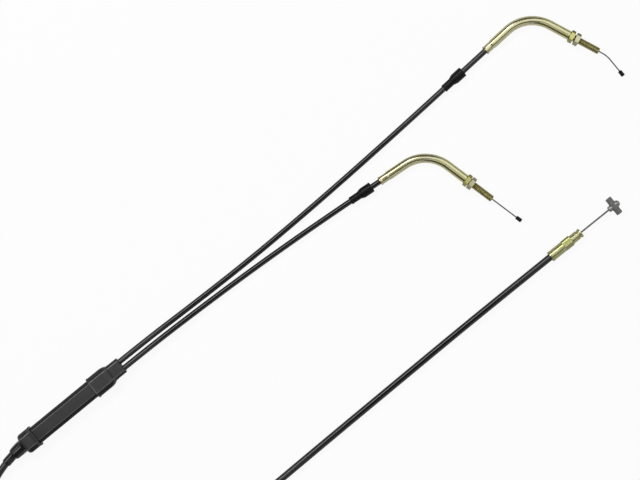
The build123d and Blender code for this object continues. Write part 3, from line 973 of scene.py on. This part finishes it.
class CABLE_OT_conduits(bpy.types.Operator):
    """Lay the three conduits as smooth cords along their routes"""

    bl_idname = "cable.lay_conduits"
    bl_label = "Lay Conduits"

    def lay(self, name, boots):
        """One conduit; the boots that it is given are not used."""
        route, total, size = CONDUITS[name]
        diameter = getattr(settings("cable_conduits"), size)
        curve = bpy.data.curves.new(f"{name}_conduit", "CURVE")
        curve.dimensions = "3D"
        curve.bevel_depth = 1
        curve.bevel_resolution = 8
        curve.resolution_u = 16
        curve.use_fill_caps = True
        spline = curve.splines.new("NURBS")
        spline.points.add(len(route) - 1)
        for point, spot in zip(spline.points, route):
            point.co = (*spot, 1)
            point.radius = diameter / 2
        spline.order_u = 3
        spline.use_endpoint_u = True
        conduit = linked(f"{name}_conduit", curve)
        layers = ("conduit_jacket", "conduit_winding", "conduit_liner", "inner_wire")
        nodes = [f"{name}_{layer}" for layer in layers]
        settled(conduit, sheath_finish, Matrix.Identity(4), "cable", "conduit_jacket", *nodes)

    def execute(self, context):
        self.lay("main", [])
        for name in BRANCHES:
            self.lay(name, [bpy.data.objects[f"{name}_dust_boot_rubber"]])
        return {"FINISHED"}


class CABLE_OT_splitter_body(bpy.types.Operator):
    """Mould the splitter's bevelled body"""

    bl_idname = "cable.mould_splitter_body"
    bl_label = "Mould Splitter Body"

    def execute(self, context):
        soft = settings("cable_splitter").softness
        low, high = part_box("splitter_body")
        end = high[0]
        width, height = span("splitter_body", 1), span("splitter_body", 2)
        bevel, wall, rebate = 3.2 * MM, 2 * MM, 0.4 * MM
        shoulder = end - 9.3 * MM  # where the part that a boot covers begins
        left = [
            (-end, rebate),
            (-shoulder, rebate),
            (-shoulder, 0.25 * MM),
            (-shoulder + 0.08 * MM, 0.08 * MM),
            (-shoulder + 0.25 * MM, 0.0),
        ]
        between = [(x * shoulder, 0.0) for x in (-0.6, -0.2, 0.2, 0.6)]
        right = [(-x, inset) for x, inset in reversed(left)]
        rings = [
            bar_ring(x, width - 2 * inset, height - 2 * inset, bevel, soft)
            for x, inset in left + between + right
        ]
        rings += [
            bar_ring(x, width - 2 * wall, height - 2 * wall, 1.4 * MM, 0.3 * MM)
            for x in (end, -end)
        ]
        marks = {"flat": FLAT_MARKS * len(rings), "edge": EDGE_MARKS * len(rings)}
        body = skinned("splitter_shell", rings, True, marks)
        where = Matrix.Translation((0, 0, (low[2] + high[2]) / 2))
        settled(body, moulding_finish, where, "cable", "splitter_plastic", "splitter_body")
        return {"FINISHED"}


class CABLE_OT_main_boot(bpy.types.Operator):
    """Mould the boot on the lever's side, with its neck and cuff along the conduit"""

    bl_idname = "cable.mould_main_boot"
    bl_label = "Mould Main Boot"

    def neck_rings(self, rear):
        """The neck, which is fluted along its thick part, and the cuff."""
        flutes, flute_depth, flute_turn = 12, 0.02, math.radians(19)
        thin = 5  # in mm, the radius below which it is plain
        stations = (
            (0, 6.9), (0.25, 6.3), (0.9, 5.95), (4, 5.85), (8, 5.6), (10.9, 5.25), (11.6, 5.05),
            (12, 4.55), (12.3, 4.1), (13.2, 4), (18, 4), (20.9, 4), (21.4, 3.9), (21.6, 3.6),
        )
        rings = []
        for x, r in stations:
            points = ring(rear + x * MM, r * MM, 0, LOFT_PHASE)
            if r > thin:
                for point in points:
                    around = math.atan2(point.y, point.z) - flute_turn
                    point.yz = point.yz * (1 - flute_depth * math.cos(flutes * around))
            rings.append(points)
        return rings

    def execute(self, context):
        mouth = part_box("main_boot")[1][0]
        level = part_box("splitter_body")[1][2] / 2
        rear = 14 * MM
        width, height, bevel = 20 * MM, span("main_boot", 2), 4 * MM
        rings = bell_rings(rear - 3.4 * MM, width, height, bevel)
        inset = settings("cable_splitter").lip
        for back, drop in ((2.6, 0.12), (1.8, 0.42), (1.1, 0.95), (0.5, 1.75), (0.12, 2.8)):
            i = inset + drop * MM
            across, tall = width - 2 * i, height - 2 * i
            rings.append(bar_ring(rear - back * MM, across, tall, bevel - i * 0.6, MM))
        bell = len(rings)
        rings += self.neck_rings(rear)
        hole = settings("cable_conduits").main_diameter / 2 + 0.1 * MM
        inside = [(rear + 21.6 * MM, hole), (rear + 12 * MM, hole), (rear + 2.1 * MM, hole)]
        inside += [(rear + 2.1 * MM, 3.75 * MM), (rear - 0.5 * MM, 3.75 * MM)]
        rings += [ring(x, r, 0, LOFT_PHASE) for x, r in inside]
        rings += pocket_rings(13.5)
        # The neck and the inside have no flat mark, so the bevels' painted shade darkens them all over.
        plain = NO_MARKS * (len(rings) - bell)
        edges = NO_MARKS * LIP_RINGS + EDGE_MARKS * (bell - LIP_RINGS)
        marks = {"flat": FLAT_MARKS * bell + plain, "edge": edges + plain}
        line = spline_line(bpy.data.objects["main_conduit"], Vector((mouth, 0, level)))
        boot = skinned("main_boot_rubber", line.bent(rings), True, marks, rings, crease=40)
        settled(boot, boot_finish, Matrix.Identity(4), "cable", "boot_rubber", "main_boot")
        return {"FINISHED"}


class CABLE_OT_branch_boot(bpy.types.Operator):
    """Mould the boot that both branch conduits leave through"""

    bl_idname = "cable.mould_branch_boot"
    bl_label = "Mould Branch Boot"

    def drill(self, boot, where):
        """Drills the two conduits' holes through the neck."""
        hole = settings("cable_conduits").branch_diameter / 2 + 0.15 * MM
        start, end = 15 * MM, 40 * MM
        for name in BRANCHES:
            route = CONDUITS[name][0]
            drill = turned("drill", [(start, hole), (end, hole)], 0)
            drill.matrix_world = Matrix.Translation((where[0], route[0][1], where[2]))
            cut = boot.modifiers.new("hole", "BOOLEAN")
            cut.operation = "DIFFERENCE"
            cut.object = drill
        bpy.context.view_layer.update()
        graph = bpy.context.evaluated_depsgraph_get()
        whole = bpy.data.meshes.new_from_object(boot.evaluated_get(graph))
        for cut in list(boot.modifiers):
            drill = cut.object
            boot.modifiers.remove(cut)
            bpy.data.objects.remove(drill)
        boot.data = whole

    def execute(self, context):
        low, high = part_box("branch_boot")
        mouth, tip = low[0], high[0]
        spot = (mouth, 0, (low[2] + high[2]) / 2)
        width, height, bevel = span("branch_boot", 1), span("branch_boot", 2), 4 * MM
        rear = 20.6 * MM
        inset = settings("cable_splitter").lip
        outer = bell_rings(rear - 7 * MM, width, height, bevel)
        shoulder = (
            (5.2, 0.1, 0.1), (3.6, 0.4, 0.4), (2.2, 0.9, 0.95),
            (1.1, 1.45, 1.7), (0.3, 1.95, 2.5), (0.0, 2.15, 2.95),
        )
        for back, side, top in shoulder:
            w = width - 2 * (inset + side * MM)
            h = height - 2 * (inset + top * MM)
            outer.append(bar_ring(rear - back * MM, w, h, bevel - top * 0.5 * MM, MM))
        end = tip - mouth
        neck_width, neck_height, neck_bevel = 15.2 * MM, 9.6 * MM, 2.4 * MM
        neck = (
            (rear + 0.7 * MM, 0.5), (rear + 1.8 * MM, 0.1), (end - 3 * MM, 0),
            (end - 0.5 * MM, 0), (end - 0.12 * MM, -0.2), (end, -0.6),
        )
        for x, grown in neck:
            w, h = neck_width + grown * MM, neck_height + grown * MM
            outer.append(bar_ring(x, w, h, neck_bevel, 0.9 * MM))
        inner = pocket_rings(20.1)
        after_lip = len(outer) - LIP_RINGS
        marks = {"flat": FLAT_MARKS * (len(inner) + len(outer))}
        # The lip's faces are marked as edges, so the mouth gets wear and a painted highlight.
        marks["edge"] = EDGE_MARKS * len(inner) + FLAT_MARKS * LIP_RINGS + EDGE_MARKS * after_lip
        boot = skinned("branch_boot_rubber", inner + outer, False, marks, crease=40)
        where = Matrix.Translation(spot)
        boot.matrix_world = where
        self.drill(boot, spot)
        settled(boot, boot_finish, where, "cable", "boot_rubber", "branch_boot")
        return {"FINISHED"}


class CABLE_OT_guide_tubes(bpy.types.Operator):
    """Bend the guide tubes and crimp them on their conduits"""

    bl_idname = "cable.bend_guide_tubes"
    bl_label = "Bend Guide Tubes"

    def profile(self, end, grip):
        """The tube's straight profile: its crimp, its outside, its bore and its seat."""
        size = settings("cable_guides")
        profile = [
            (0, size.outer - 0.15 * MM), (0.2 * MM, size.outer), (0.8 * MM, size.outer),
            (1.1 * MM, size.crimped + 0.05 * MM), (1.5 * MM, size.crimped),
            (3 * MM, size.crimped), (5 * MM, size.crimped),
            (size.crimp_end - 0.3 * MM, size.crimped),
            (size.crimp_end + 0.3 * MM, size.crimped + 0.08 * MM),
            (size.crimp_end + MM, size.outer),
        ]
        start = size.crimp_end + 1.5 * MM
        steps = 70
        for k in range(steps + 1):
            profile.append((start + (end - 0.3 * MM - start) * k / steps, size.outer))
        profile += [(end - 0.08 * MM, size.outer - 0.05 * MM)]
        profile += [(end, size.outer - 0.25 * MM), (end, size.bore)]
        steps = 40
        for k in range(steps):
            profile.append((end - 0.3 * MM - (end - start) * k / steps, size.bore))
        profile += [(size.crimp_end, size.bore), (size.crimp_end, grip)]
        return profile + [(0.1 * MM, grip), (0, grip + 0.1 * MM)]

    def execute(self, context):
        size = settings("cable_guides")
        grip = settings("cable_conduits").branch_diameter / 2 + 0.05 * MM
        jaws, squeeze = 4, 0.022  # the crimping jaws, and how deep they press
        for name in BRANCHES:
            guide = Guide(name)
            line = guide.line()
            rings = []
            for x, r in self.profile(line.total, grip):
                points = ring(x, r)
                if size.outer > r > grip and 1.2 * MM < x < size.crimp_end:
                    for k, point in enumerate(points):
                        pressed = 1 - squeeze * math.cos(jaws * math.tau * k / SIDES)
                        point.yz = point.yz * pressed
                rings.append(points)
            bent = line.bent(rings)
            tube = skinned(f"{name}_guide_tube", bent, True, None, rings, crease=40)
            slot, node = "yellow_zinc_tube", f"{name}_elbow_tube"
            settled(tube, guide_finish, guide.inlet_place, "cable", slot, node)
        return {"FINISHED"}


class CABLE_OT_adjusters(bpy.types.Operator):
    """Turn the adjusters' hexagonal heads and cut their threads"""

    bl_idname = "cable.cut_adjusters"
    bl_label = "Cut Adjusters"

    def thread(self, name, start, end):
        """The threaded shank, which rounds off at its tip, with its roots marked."""
        size = settings("cable_adjusters")
        tip = 1.3 * MM  # radius of the rounded tip
        turn_steps = 9  # rings in one turn
        rings, grooves = [], []
        steps = round((end - start) / size.pitch * turn_steps)
        for i in range(steps + 1):
            x = start + (end - start) * i / steps
            # The thread deepens over its first turn and fades over its last half turn.
            cut = max(0, min(1, (x - start) / size.pitch, (end - x) / (0.5 * size.pitch)))
            limit = size.radius - tip + math.sqrt(tip**2 - max(0, tip - (end - x)) ** 2)
            points = []
            for k in range(SIDES):
                phase = (x / size.pitch - k / SIDES) % 1
                crest = abs(2 * phase - 1)
                valley = min(1, max(0, 1.15 - 1.3 * crest)) * cut  # with flat crests and roots
                r = min(limit, size.radius - size.depth * valley)
                points.append(round_x(x, r, math.tau * k / SIDES))
                grooves.append(valley)
            rings.append(points)
        for x in (end, start):
            rings.append(ring(x, size.bore))
            grooves += [1.0] * SIDES
        return skinned(name, rings, True, {"groove": grooves}, crease=75)

    def execute(self, context):
        size = settings("cable_adjusters")
        fit = settings("cable_guides").bore - 0.05 * MM
        spigot = -8 * MM
        start = size.head_start
        face = start + size.head
        profile = [(spigot, size.bore), (spigot, fit), (start, fit)]
        profile += hexagon_profile(start, face, size.flats, size.corner)
        profile += [(face, size.bore)]
        for name in BRANCHES:
            guide = Guide(name)
            head = turned(f"{name}_adjuster_head", profile, 0.12 * MM, hollow=True)
            shank = self.thread(f"{name}_adjuster_thread", face - 0.1 * MM, guide.mouth())
            for piece, maker in ((head, head_finish), (shank, thread_finish)):
                body, node = f"{name}_adjuster", f"{name}_adjuster_screw"
                settled(piece, maker, guide.outlet_place, body, "yellow_zinc_thread", node)
        return {"FINISHED"}


class CABLE_OT_lock_nuts(bpy.types.Operator):
    """Cut the adjusters' lock nuts"""

    bl_idname = "cable.cut_lock_nuts"
    bl_label = "Cut Lock Nuts"

    def execute(self, context):
        size = settings("cable_adjusters")
        hole = size.radius + 0.05 * MM
        lead = 0.25 * MM  # chamfer of the hole's mouths
        profile = [(0, hole + lead)]
        profile += hexagon_profile(0, size.nut, size.flats, size.corner)
        profile += [(size.nut, hole + lead), (size.nut - lead, hole), (lead, hole)]
        for name in BRANCHES:
            guide = Guide(name)
            node = f"{name}_lock_nut"
            start = (middle(node) - guide.outlet).dot(guide.way_out) - size.nut / 2
            where = guide.outlet_place @ Matrix.Translation((start, 0, 0))
            nut = turned(f"{name}_nut", profile, 0.1 * MM, hollow=True)
            settled(nut, nut_finish, where, f"{name}_nut", "zinc_nut", node)
        return {"FINISHED"}


class CABLE_OT_carb_ends(bpy.types.Operator):
    """Draw out the bare wires and solder their nipples on"""

    bl_idname = "cable.solder_carb_nipples"
    bl_label = "Solder Carburettor Nipples"

    def execute(self, context):
        size = settings("cable_wires")
        r, end = size.nipple_radius, size.nipple_length
        profile = [
            (-0.15 * MM, size.branch_radius * 0.9), (0.05 * MM, 0.9 * MM),
            (0.25 * MM, 1.25 * MM), (0.6 * MM, r), (2.4 * MM, r), (2.6 * MM, r * 0.95),
            (2.9 * MM, r * 0.95), (3.1 * MM, r), (end - 0.35 * MM, r), (end, r - 0.4 * MM),
            (end - 0.25 * MM, r - 0.7 * MM), (end - 0.3 * MM, 0.1 * MM),
        ]
        for name in BRANCHES:
            guide = Guide(name)
            here = guide.outlet_place
            points, way = guide.wire_points()
            seat = points[-1]
            line = Line(points)
            inside_nipple = line.total + MM
            wire = stranded(f"{name}_bare_wire", line, size.branch_radius, 0.0, inside_nipple)
            body = "cable" if name == "long" else "short_nipple"
            settled(wire, wire_finish, here, body, "wire_steel", f"{name}_exposed_wire")
            if name == "long":
                pull = joint("long_nipple_pull")
                mouth = here @ points[0]
                keep = 1 - pull["range_m"][1] / (here @ seat - mouth).length
                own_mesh(wire)
            nipple = turned(f"{name}_nipple_metal", profile, 0.12 * MM)
            spot = place(here @ seat, here.to_3x3() @ way)
            body, node = f"{name}_nipple", f"{name}_carb_nipple"
            settled(nipple, nipple_finish, spot, body, "nipple_metal", node)
        return {"FINISHED"}


def lever_place():
    """The frame of the lever's end: at the ferrule's open end, along the pull."""
    last = Vector(MAIN_ROUTE[-1])
    back = (Vector(MAIN_ROUTE[-2]) - last).normalized()
    return place(last + back * settings("cable_lever").seat, joint("throttle_pull")["axis"])


class CABLE_OT_ferrule(bpy.types.Operator):
    """Turn the lever end's ferrule and crimp it"""

    bl_idname = "cable.crimp_ferrule"
    bl_label = "Crimp Ferrule"

    def execute(self, context):
        grip = settings("cable_conduits").main_diameter / 2 + 0.05 * MM
        wire_hole = settings("cable_wires").main_radius + 0.4 * MM
        seat = settings("cable_lever").seat
        corners = 9.9  # across the crimped hexagon's corners
        across = corners * math.sqrt(3) / 2
        outside = [
            (0, 4.75, 0), (1.9, 4.75, 0), (1.95, 4.6, 0), (14.4, 4.6, 0), (14.7, 4.6, 0),
            (15.3, 4.95, across), (16.5, 4.95, across), (21.5, 4.95, across),
            (22.8, 4.95, across), (23.4, 4.3, 0), (23.6, 4.0, 0), (30.6, 4.0, 0),
            (30.7, 3.35, 0), (31.9, 3.35, 0), (32.0, 4.15, 0), (33.9, 4.15, 0),
            (33.9, 2.0, 0), (33.4, 1.6, 0),
        ]
        profile = [(x * MM, r * MM, a * MM) for x, r, a in outside]
        profile += [(33.4 * MM, wire_hole, 0), (seat, wire_hole, 0), (seat, grip, 0)]
        profile += [(0.3 * MM, grip, 0), (0, grip + 0.3 * MM, 0)]
        piece = turned("ferrule", profile, 0.18 * MM, hollow=True, twist=CRIMP_TURN)
        slot, node = "yellow_zinc_ferrule", "lever_ferrule"
        settled(piece, ferrule_finish, lever_place(), "cable", slot, node)
        return {"FINISHED"}


class CABLE_OT_lever_end(bpy.types.Operator):
    """Cast the cross barrel and solder it on the lever's wire"""

    bl_idname = "cable.cast_lever_barrel"
    bl_label = "Cast Lever Barrel"

    def wire(self, radius, end):
        """The lever's wire, from inside the ferrule to a distance from its open end."""
        before, after = 0.02, 0.2  # how far the line reaches from the ferrule's open end
        hidden = 28 * MM  # how much of the wire the ferrule hides
        line = Line([(-before, 0, 0), (after, 0, 0)])
        start = FERRULE_END - hidden + before
        return stranded("lever_strands", line, radius, start, end + before)

    def collar(self, wire_radius, r):
        """The collar that holds the wire in the barrel."""
        profile = [
            (-0.25 * MM, wire_radius), (0, 1.5 * MM), (0.1 * MM, r - 0.35 * MM),
            (0.5 * MM, r), (3.4 * MM, r), (3.6 * MM, r * 0.96), (4.6 * MM, r * 0.96),
            (4.8 * MM, 0.4 * MM),
        ]
        return turned("lever_collar_metal", profile, 0.15 * MM)

    def barrel(self, half, r):
        """The cross barrel, which is thicker round the wire."""
        hub, swell = 3.3 * MM, 3.1 * MM
        left = [
            (-half, 0.6 * MM), (-half, r - 0.3 * MM), (0.35 * MM - half, r),
            (-hub - 0.3 * MM, r), (0.2 * MM - hub, swell),
        ]
        profile = left + [(-x, radius) for x, radius in reversed(left)]
        return turned("lever_barrel_casting", profile, 0.25 * MM)

    def dome(self, r):
        """The soldered nipple's dome."""
        profile = [
            (-0.8 * MM, 0.6 * MM), (-0.8 * MM, r), (1.7 * MM, r), (2.4 * MM, r * 0.97),
            (3.2 * MM, r * 0.86), (3.9 * MM, r * 0.64), (4.3 * MM, r * 0.36),
            (4.4 * MM, 0.1 * MM),
        ]
        return turned("lever_dome_metal", profile, 0.2 * MM)

    def execute(self, context):
        size = settings("cable_lever")
        radius = settings("cable_wires").main_radius
        here = lever_place()
        collar_at = FERRULE_END + size.exposed
        barrel_at = collar_at + BARREL_AHEAD
        across = Matrix.Rotation(math.pi / 2, 4, "Z")

        def ahead(distance):
            return here @ Matrix.Translation((distance, 0, 0))

        wire = self.wire(radius, collar_at + 0.5 * MM)
        collar = self.collar(radius, size.collar_radius)
        barrel = self.barrel(size.barrel_length / 2, size.barrel_radius)
        dome = self.dome(size.dome_radius)
        for piece, maker, where, slot, node in (
            (wire, wire_finish, here, "wire_steel", "lever_wire"),
            (collar, bright_finish, ahead(collar_at), "bright_metal", "lever_collar"),
            (barrel, cast_finish, ahead(barrel_at) @ across, "cast_barrel", "lever_barrel"),
            (dome, bright_finish, ahead(barrel_at + DOME_AHEAD), "bright_metal", "lever_dome"),
        ):
            settled(piece, maker, where, "throttle_end", slot, node)
        return {"FINISHED"}


class CABLE_OT_inner_parts(bpy.types.Operator):
    """Finish the solids inside the splitter and the tubes"""

    bl_idname = "cable.finish_inner_parts"
    bl_label = "Finish Inner Parts"

    def execute(self, context):
        makers = {
            "splitter_slider": acetal_finish,
            "main_end_plug": plug_finish,
            "branch_end_plug": plug_finish,
        }
        for name in CONDUITS:
            makers[f"{name}_conduit_cap"] = cap_finish
            makers[f"{name}_slider_nipple"] = solder_finish
            makers[f"{name}_slider_wire"] = strand_finish
        for name in BRANCHES:
            makers[f"{name}_elbow_liner"] = liner_finish
        for node, maker in makers.items():
            finished(frame["nodes"][node], maker)
        return {"FINISHED"}


class CABLE_OT_stage(bpy.types.Operator):
    """Set up the floor, the soft lights and the camera"""

    bl_idname = "cable.set_stage"
    bl_label = "Set Stage"

    def softbox(self, name, spot, target, wide, deep, radiance):
        """A soft light at a spot that faces a target."""
        lamp = bpy.data.lights.new(name, "AREA")
        lamp.shape = "RECTANGLE"
        lamp.size, lamp.size_y = wide, deep
        lamp.energy = radiance * math.pi * wide * deep
        back = (Vector(spot) - Vector(target)).normalized()
        side = Vector((1, 0, 0))
        side = (side - back * side.dot(back)).normalized()
        turn = Matrix((side, back.cross(side), back)).transposed().to_4x4()
        linked(name, lamp).matrix_world = Matrix.Translation(spot) @ turn

    def lights(self, stage):
        """A key and a fill beside the cable, and a softbox past each of its ends.

        Each leans from overhead by some degrees.
        """
        middle_x, middle_y = 0.25, -0.06
        beside, beyond = 1.6, 2
        for name, degrees, x, wide, deep, radiance in (
            ("key", 38, -0.15, 2.1, 0.5, stage.key),
            ("fill", -63, middle_x, 1.6, 0.6, stage.fill),
        ):
            lean = math.radians(degrees)
            spot = (x, middle_y + beside * math.sin(lean), beside * math.cos(lean))
            self.softbox(name, spot, (x, middle_y, 0), wide, deep, radiance)
        for name, degrees, wide in (("near_end", -16, 0.6), ("far_end", 38, 2.4)):
            lean = math.radians(degrees)
            spot = (middle_x + beyond * math.sin(lean), middle_y, beyond * math.cos(lean))
            self.softbox(name, spot, (middle_x, middle_y, 0), wide, 1.7, stage.ends)

    def floor(self, stage):
        """A white floor that keeps the cable's shadow."""
        half = stage.floor / 2
        mesh = bpy.data.meshes.new("floor")
        corners = [(-half, -half, 0), (half, -half, 0), (half, half, 0), (-half, half, 0)]
        mesh.from_pydata(corners, [], [(0, 1, 2, 3)])
        floor = linked("floor", mesh)
        floor.location.z = min(cad_box[0].z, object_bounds()[0].z)
        f = Finish("floor", Base_Color=FLOOR_WHITE, Roughness=0.9, Specular_IOR_Level=0.0)
        camera, glossy, through = [
            f.node("LightPath", output=f"Is {ray} Ray")
            for ray in ("Camera", "Glossy", "Transmission")
        ]
        white = f.node("Emission", None, {"Color": WHITE, "Strength": 1.0})
        bright = camera * (1 - stage.shadow) + (glossy + through) * stage.mirrored
        mix = f.node("MixShader", None, {0: bright, 1: f.shader, 2: white})
        mesh.materials.append(f.shown(mix))
        floor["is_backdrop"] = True

    def sky(self, stage):
        """An even light from all round."""
        world = bpy.data.worlds.new("studio")
        bpy.context.scene.world = world
        nodes = Nodes(world)
        light = nodes.node("Background", None, {"Color": WHITE, "Strength": stage.sky})
        nodes.node("OutputWorld", None, {"Surface": light})

    def camera(self, stage):
        """A camera that looks straight down."""
        data = bpy.data.cameras.new("camera")
        data.lens, data.sensor_width = 100, 36
        data.clip_start, data.clip_end = 0.01, 20
        camera = linked("camera", data)
        turn = Matrix.Rotation(CAMERA_TURN, 4, "Z")
        camera.matrix_world = Matrix.Translation((*CAMERA_SPOT, stage.height)) @ turn
        bpy.context.scene.camera = camera

    def execute(self, context):
        stage = settings("cable_stage")
        self.lights(stage)
        self.floor(stage)
        self.sky(stage)
        self.camera(stage)
        bpy.context.scene.view_settings.view_transform = "Standard"
        return {"FINISHED"}


# In the order that they run in: the conduits look the dust boots up, and the main boot
# follows its conduit.
STEPS = (
    CABLE_OT_dust_boots,
    CABLE_OT_conduits,
    CABLE_OT_splitter_body,
    CABLE_OT_main_boot,
    CABLE_OT_branch_boot,
    CABLE_OT_guide_tubes,
    CABLE_OT_adjusters,
    CABLE_OT_lock_nuts,
    CABLE_OT_carb_ends,
    CABLE_OT_ferrule,
    CABLE_OT_lever_end,
    CABLE_OT_inner_parts,
    CABLE_OT_stage,
)
GROUPS = {
    "cable_conduits": ConduitSettings,
    "cable_splitter": SplitterSettings,
    "cable_guides": GuideSettings,
    "cable_adjusters": AdjusterSettings,
    "cable_wires": WireSettings,
    "cable_lever": LeverSettings,
    "cable_stage": StageSettings,
}


class CABLE_PT_panel(bpy.types.Panel):
    """The throttle cable's settings and steps"""

    bl_idname = "CABLE_PT_panel"
    bl_label = "Throttle Cable"
    bl_space_type = "VIEW_3D"
    bl_region_type = "UI"
    bl_category = "Throttle Cable"

    def draw(self, context):
        for step in STEPS:
            self.layout.operator(step.bl_idname)
        for group in GROUPS:
            box = self.layout.box()
            values = getattr(context.scene, group)
            for name in values.__annotations__:
                box.prop(values, name)


def register():
    """Registers the settings, the steps and the panel."""
    for kind in (*GROUPS.values(), *STEPS, CABLE_PT_panel):
        bpy.utils.register_class(kind)
    for name, kind in GROUPS.items():
        setattr(bpy.types.Scene, name, PointerProperty(type=kind))


def unregister():
    """Takes back what register did."""
    for name in GROUPS:
        delattr(bpy.types.Scene, name)
    for kind in (CABLE_PT_panel, *reversed(STEPS), *reversed(GROUPS.values())):
        bpy.utils.unregister_class(kind)


def main():
    """Runs the steps in order."""
    register()
    for step in STEPS:
        group, action = step.bl_idname.split(".")
        getattr(getattr(bpy.ops, group), action)()
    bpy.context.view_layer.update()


if __name__ == "__main__":
    main()
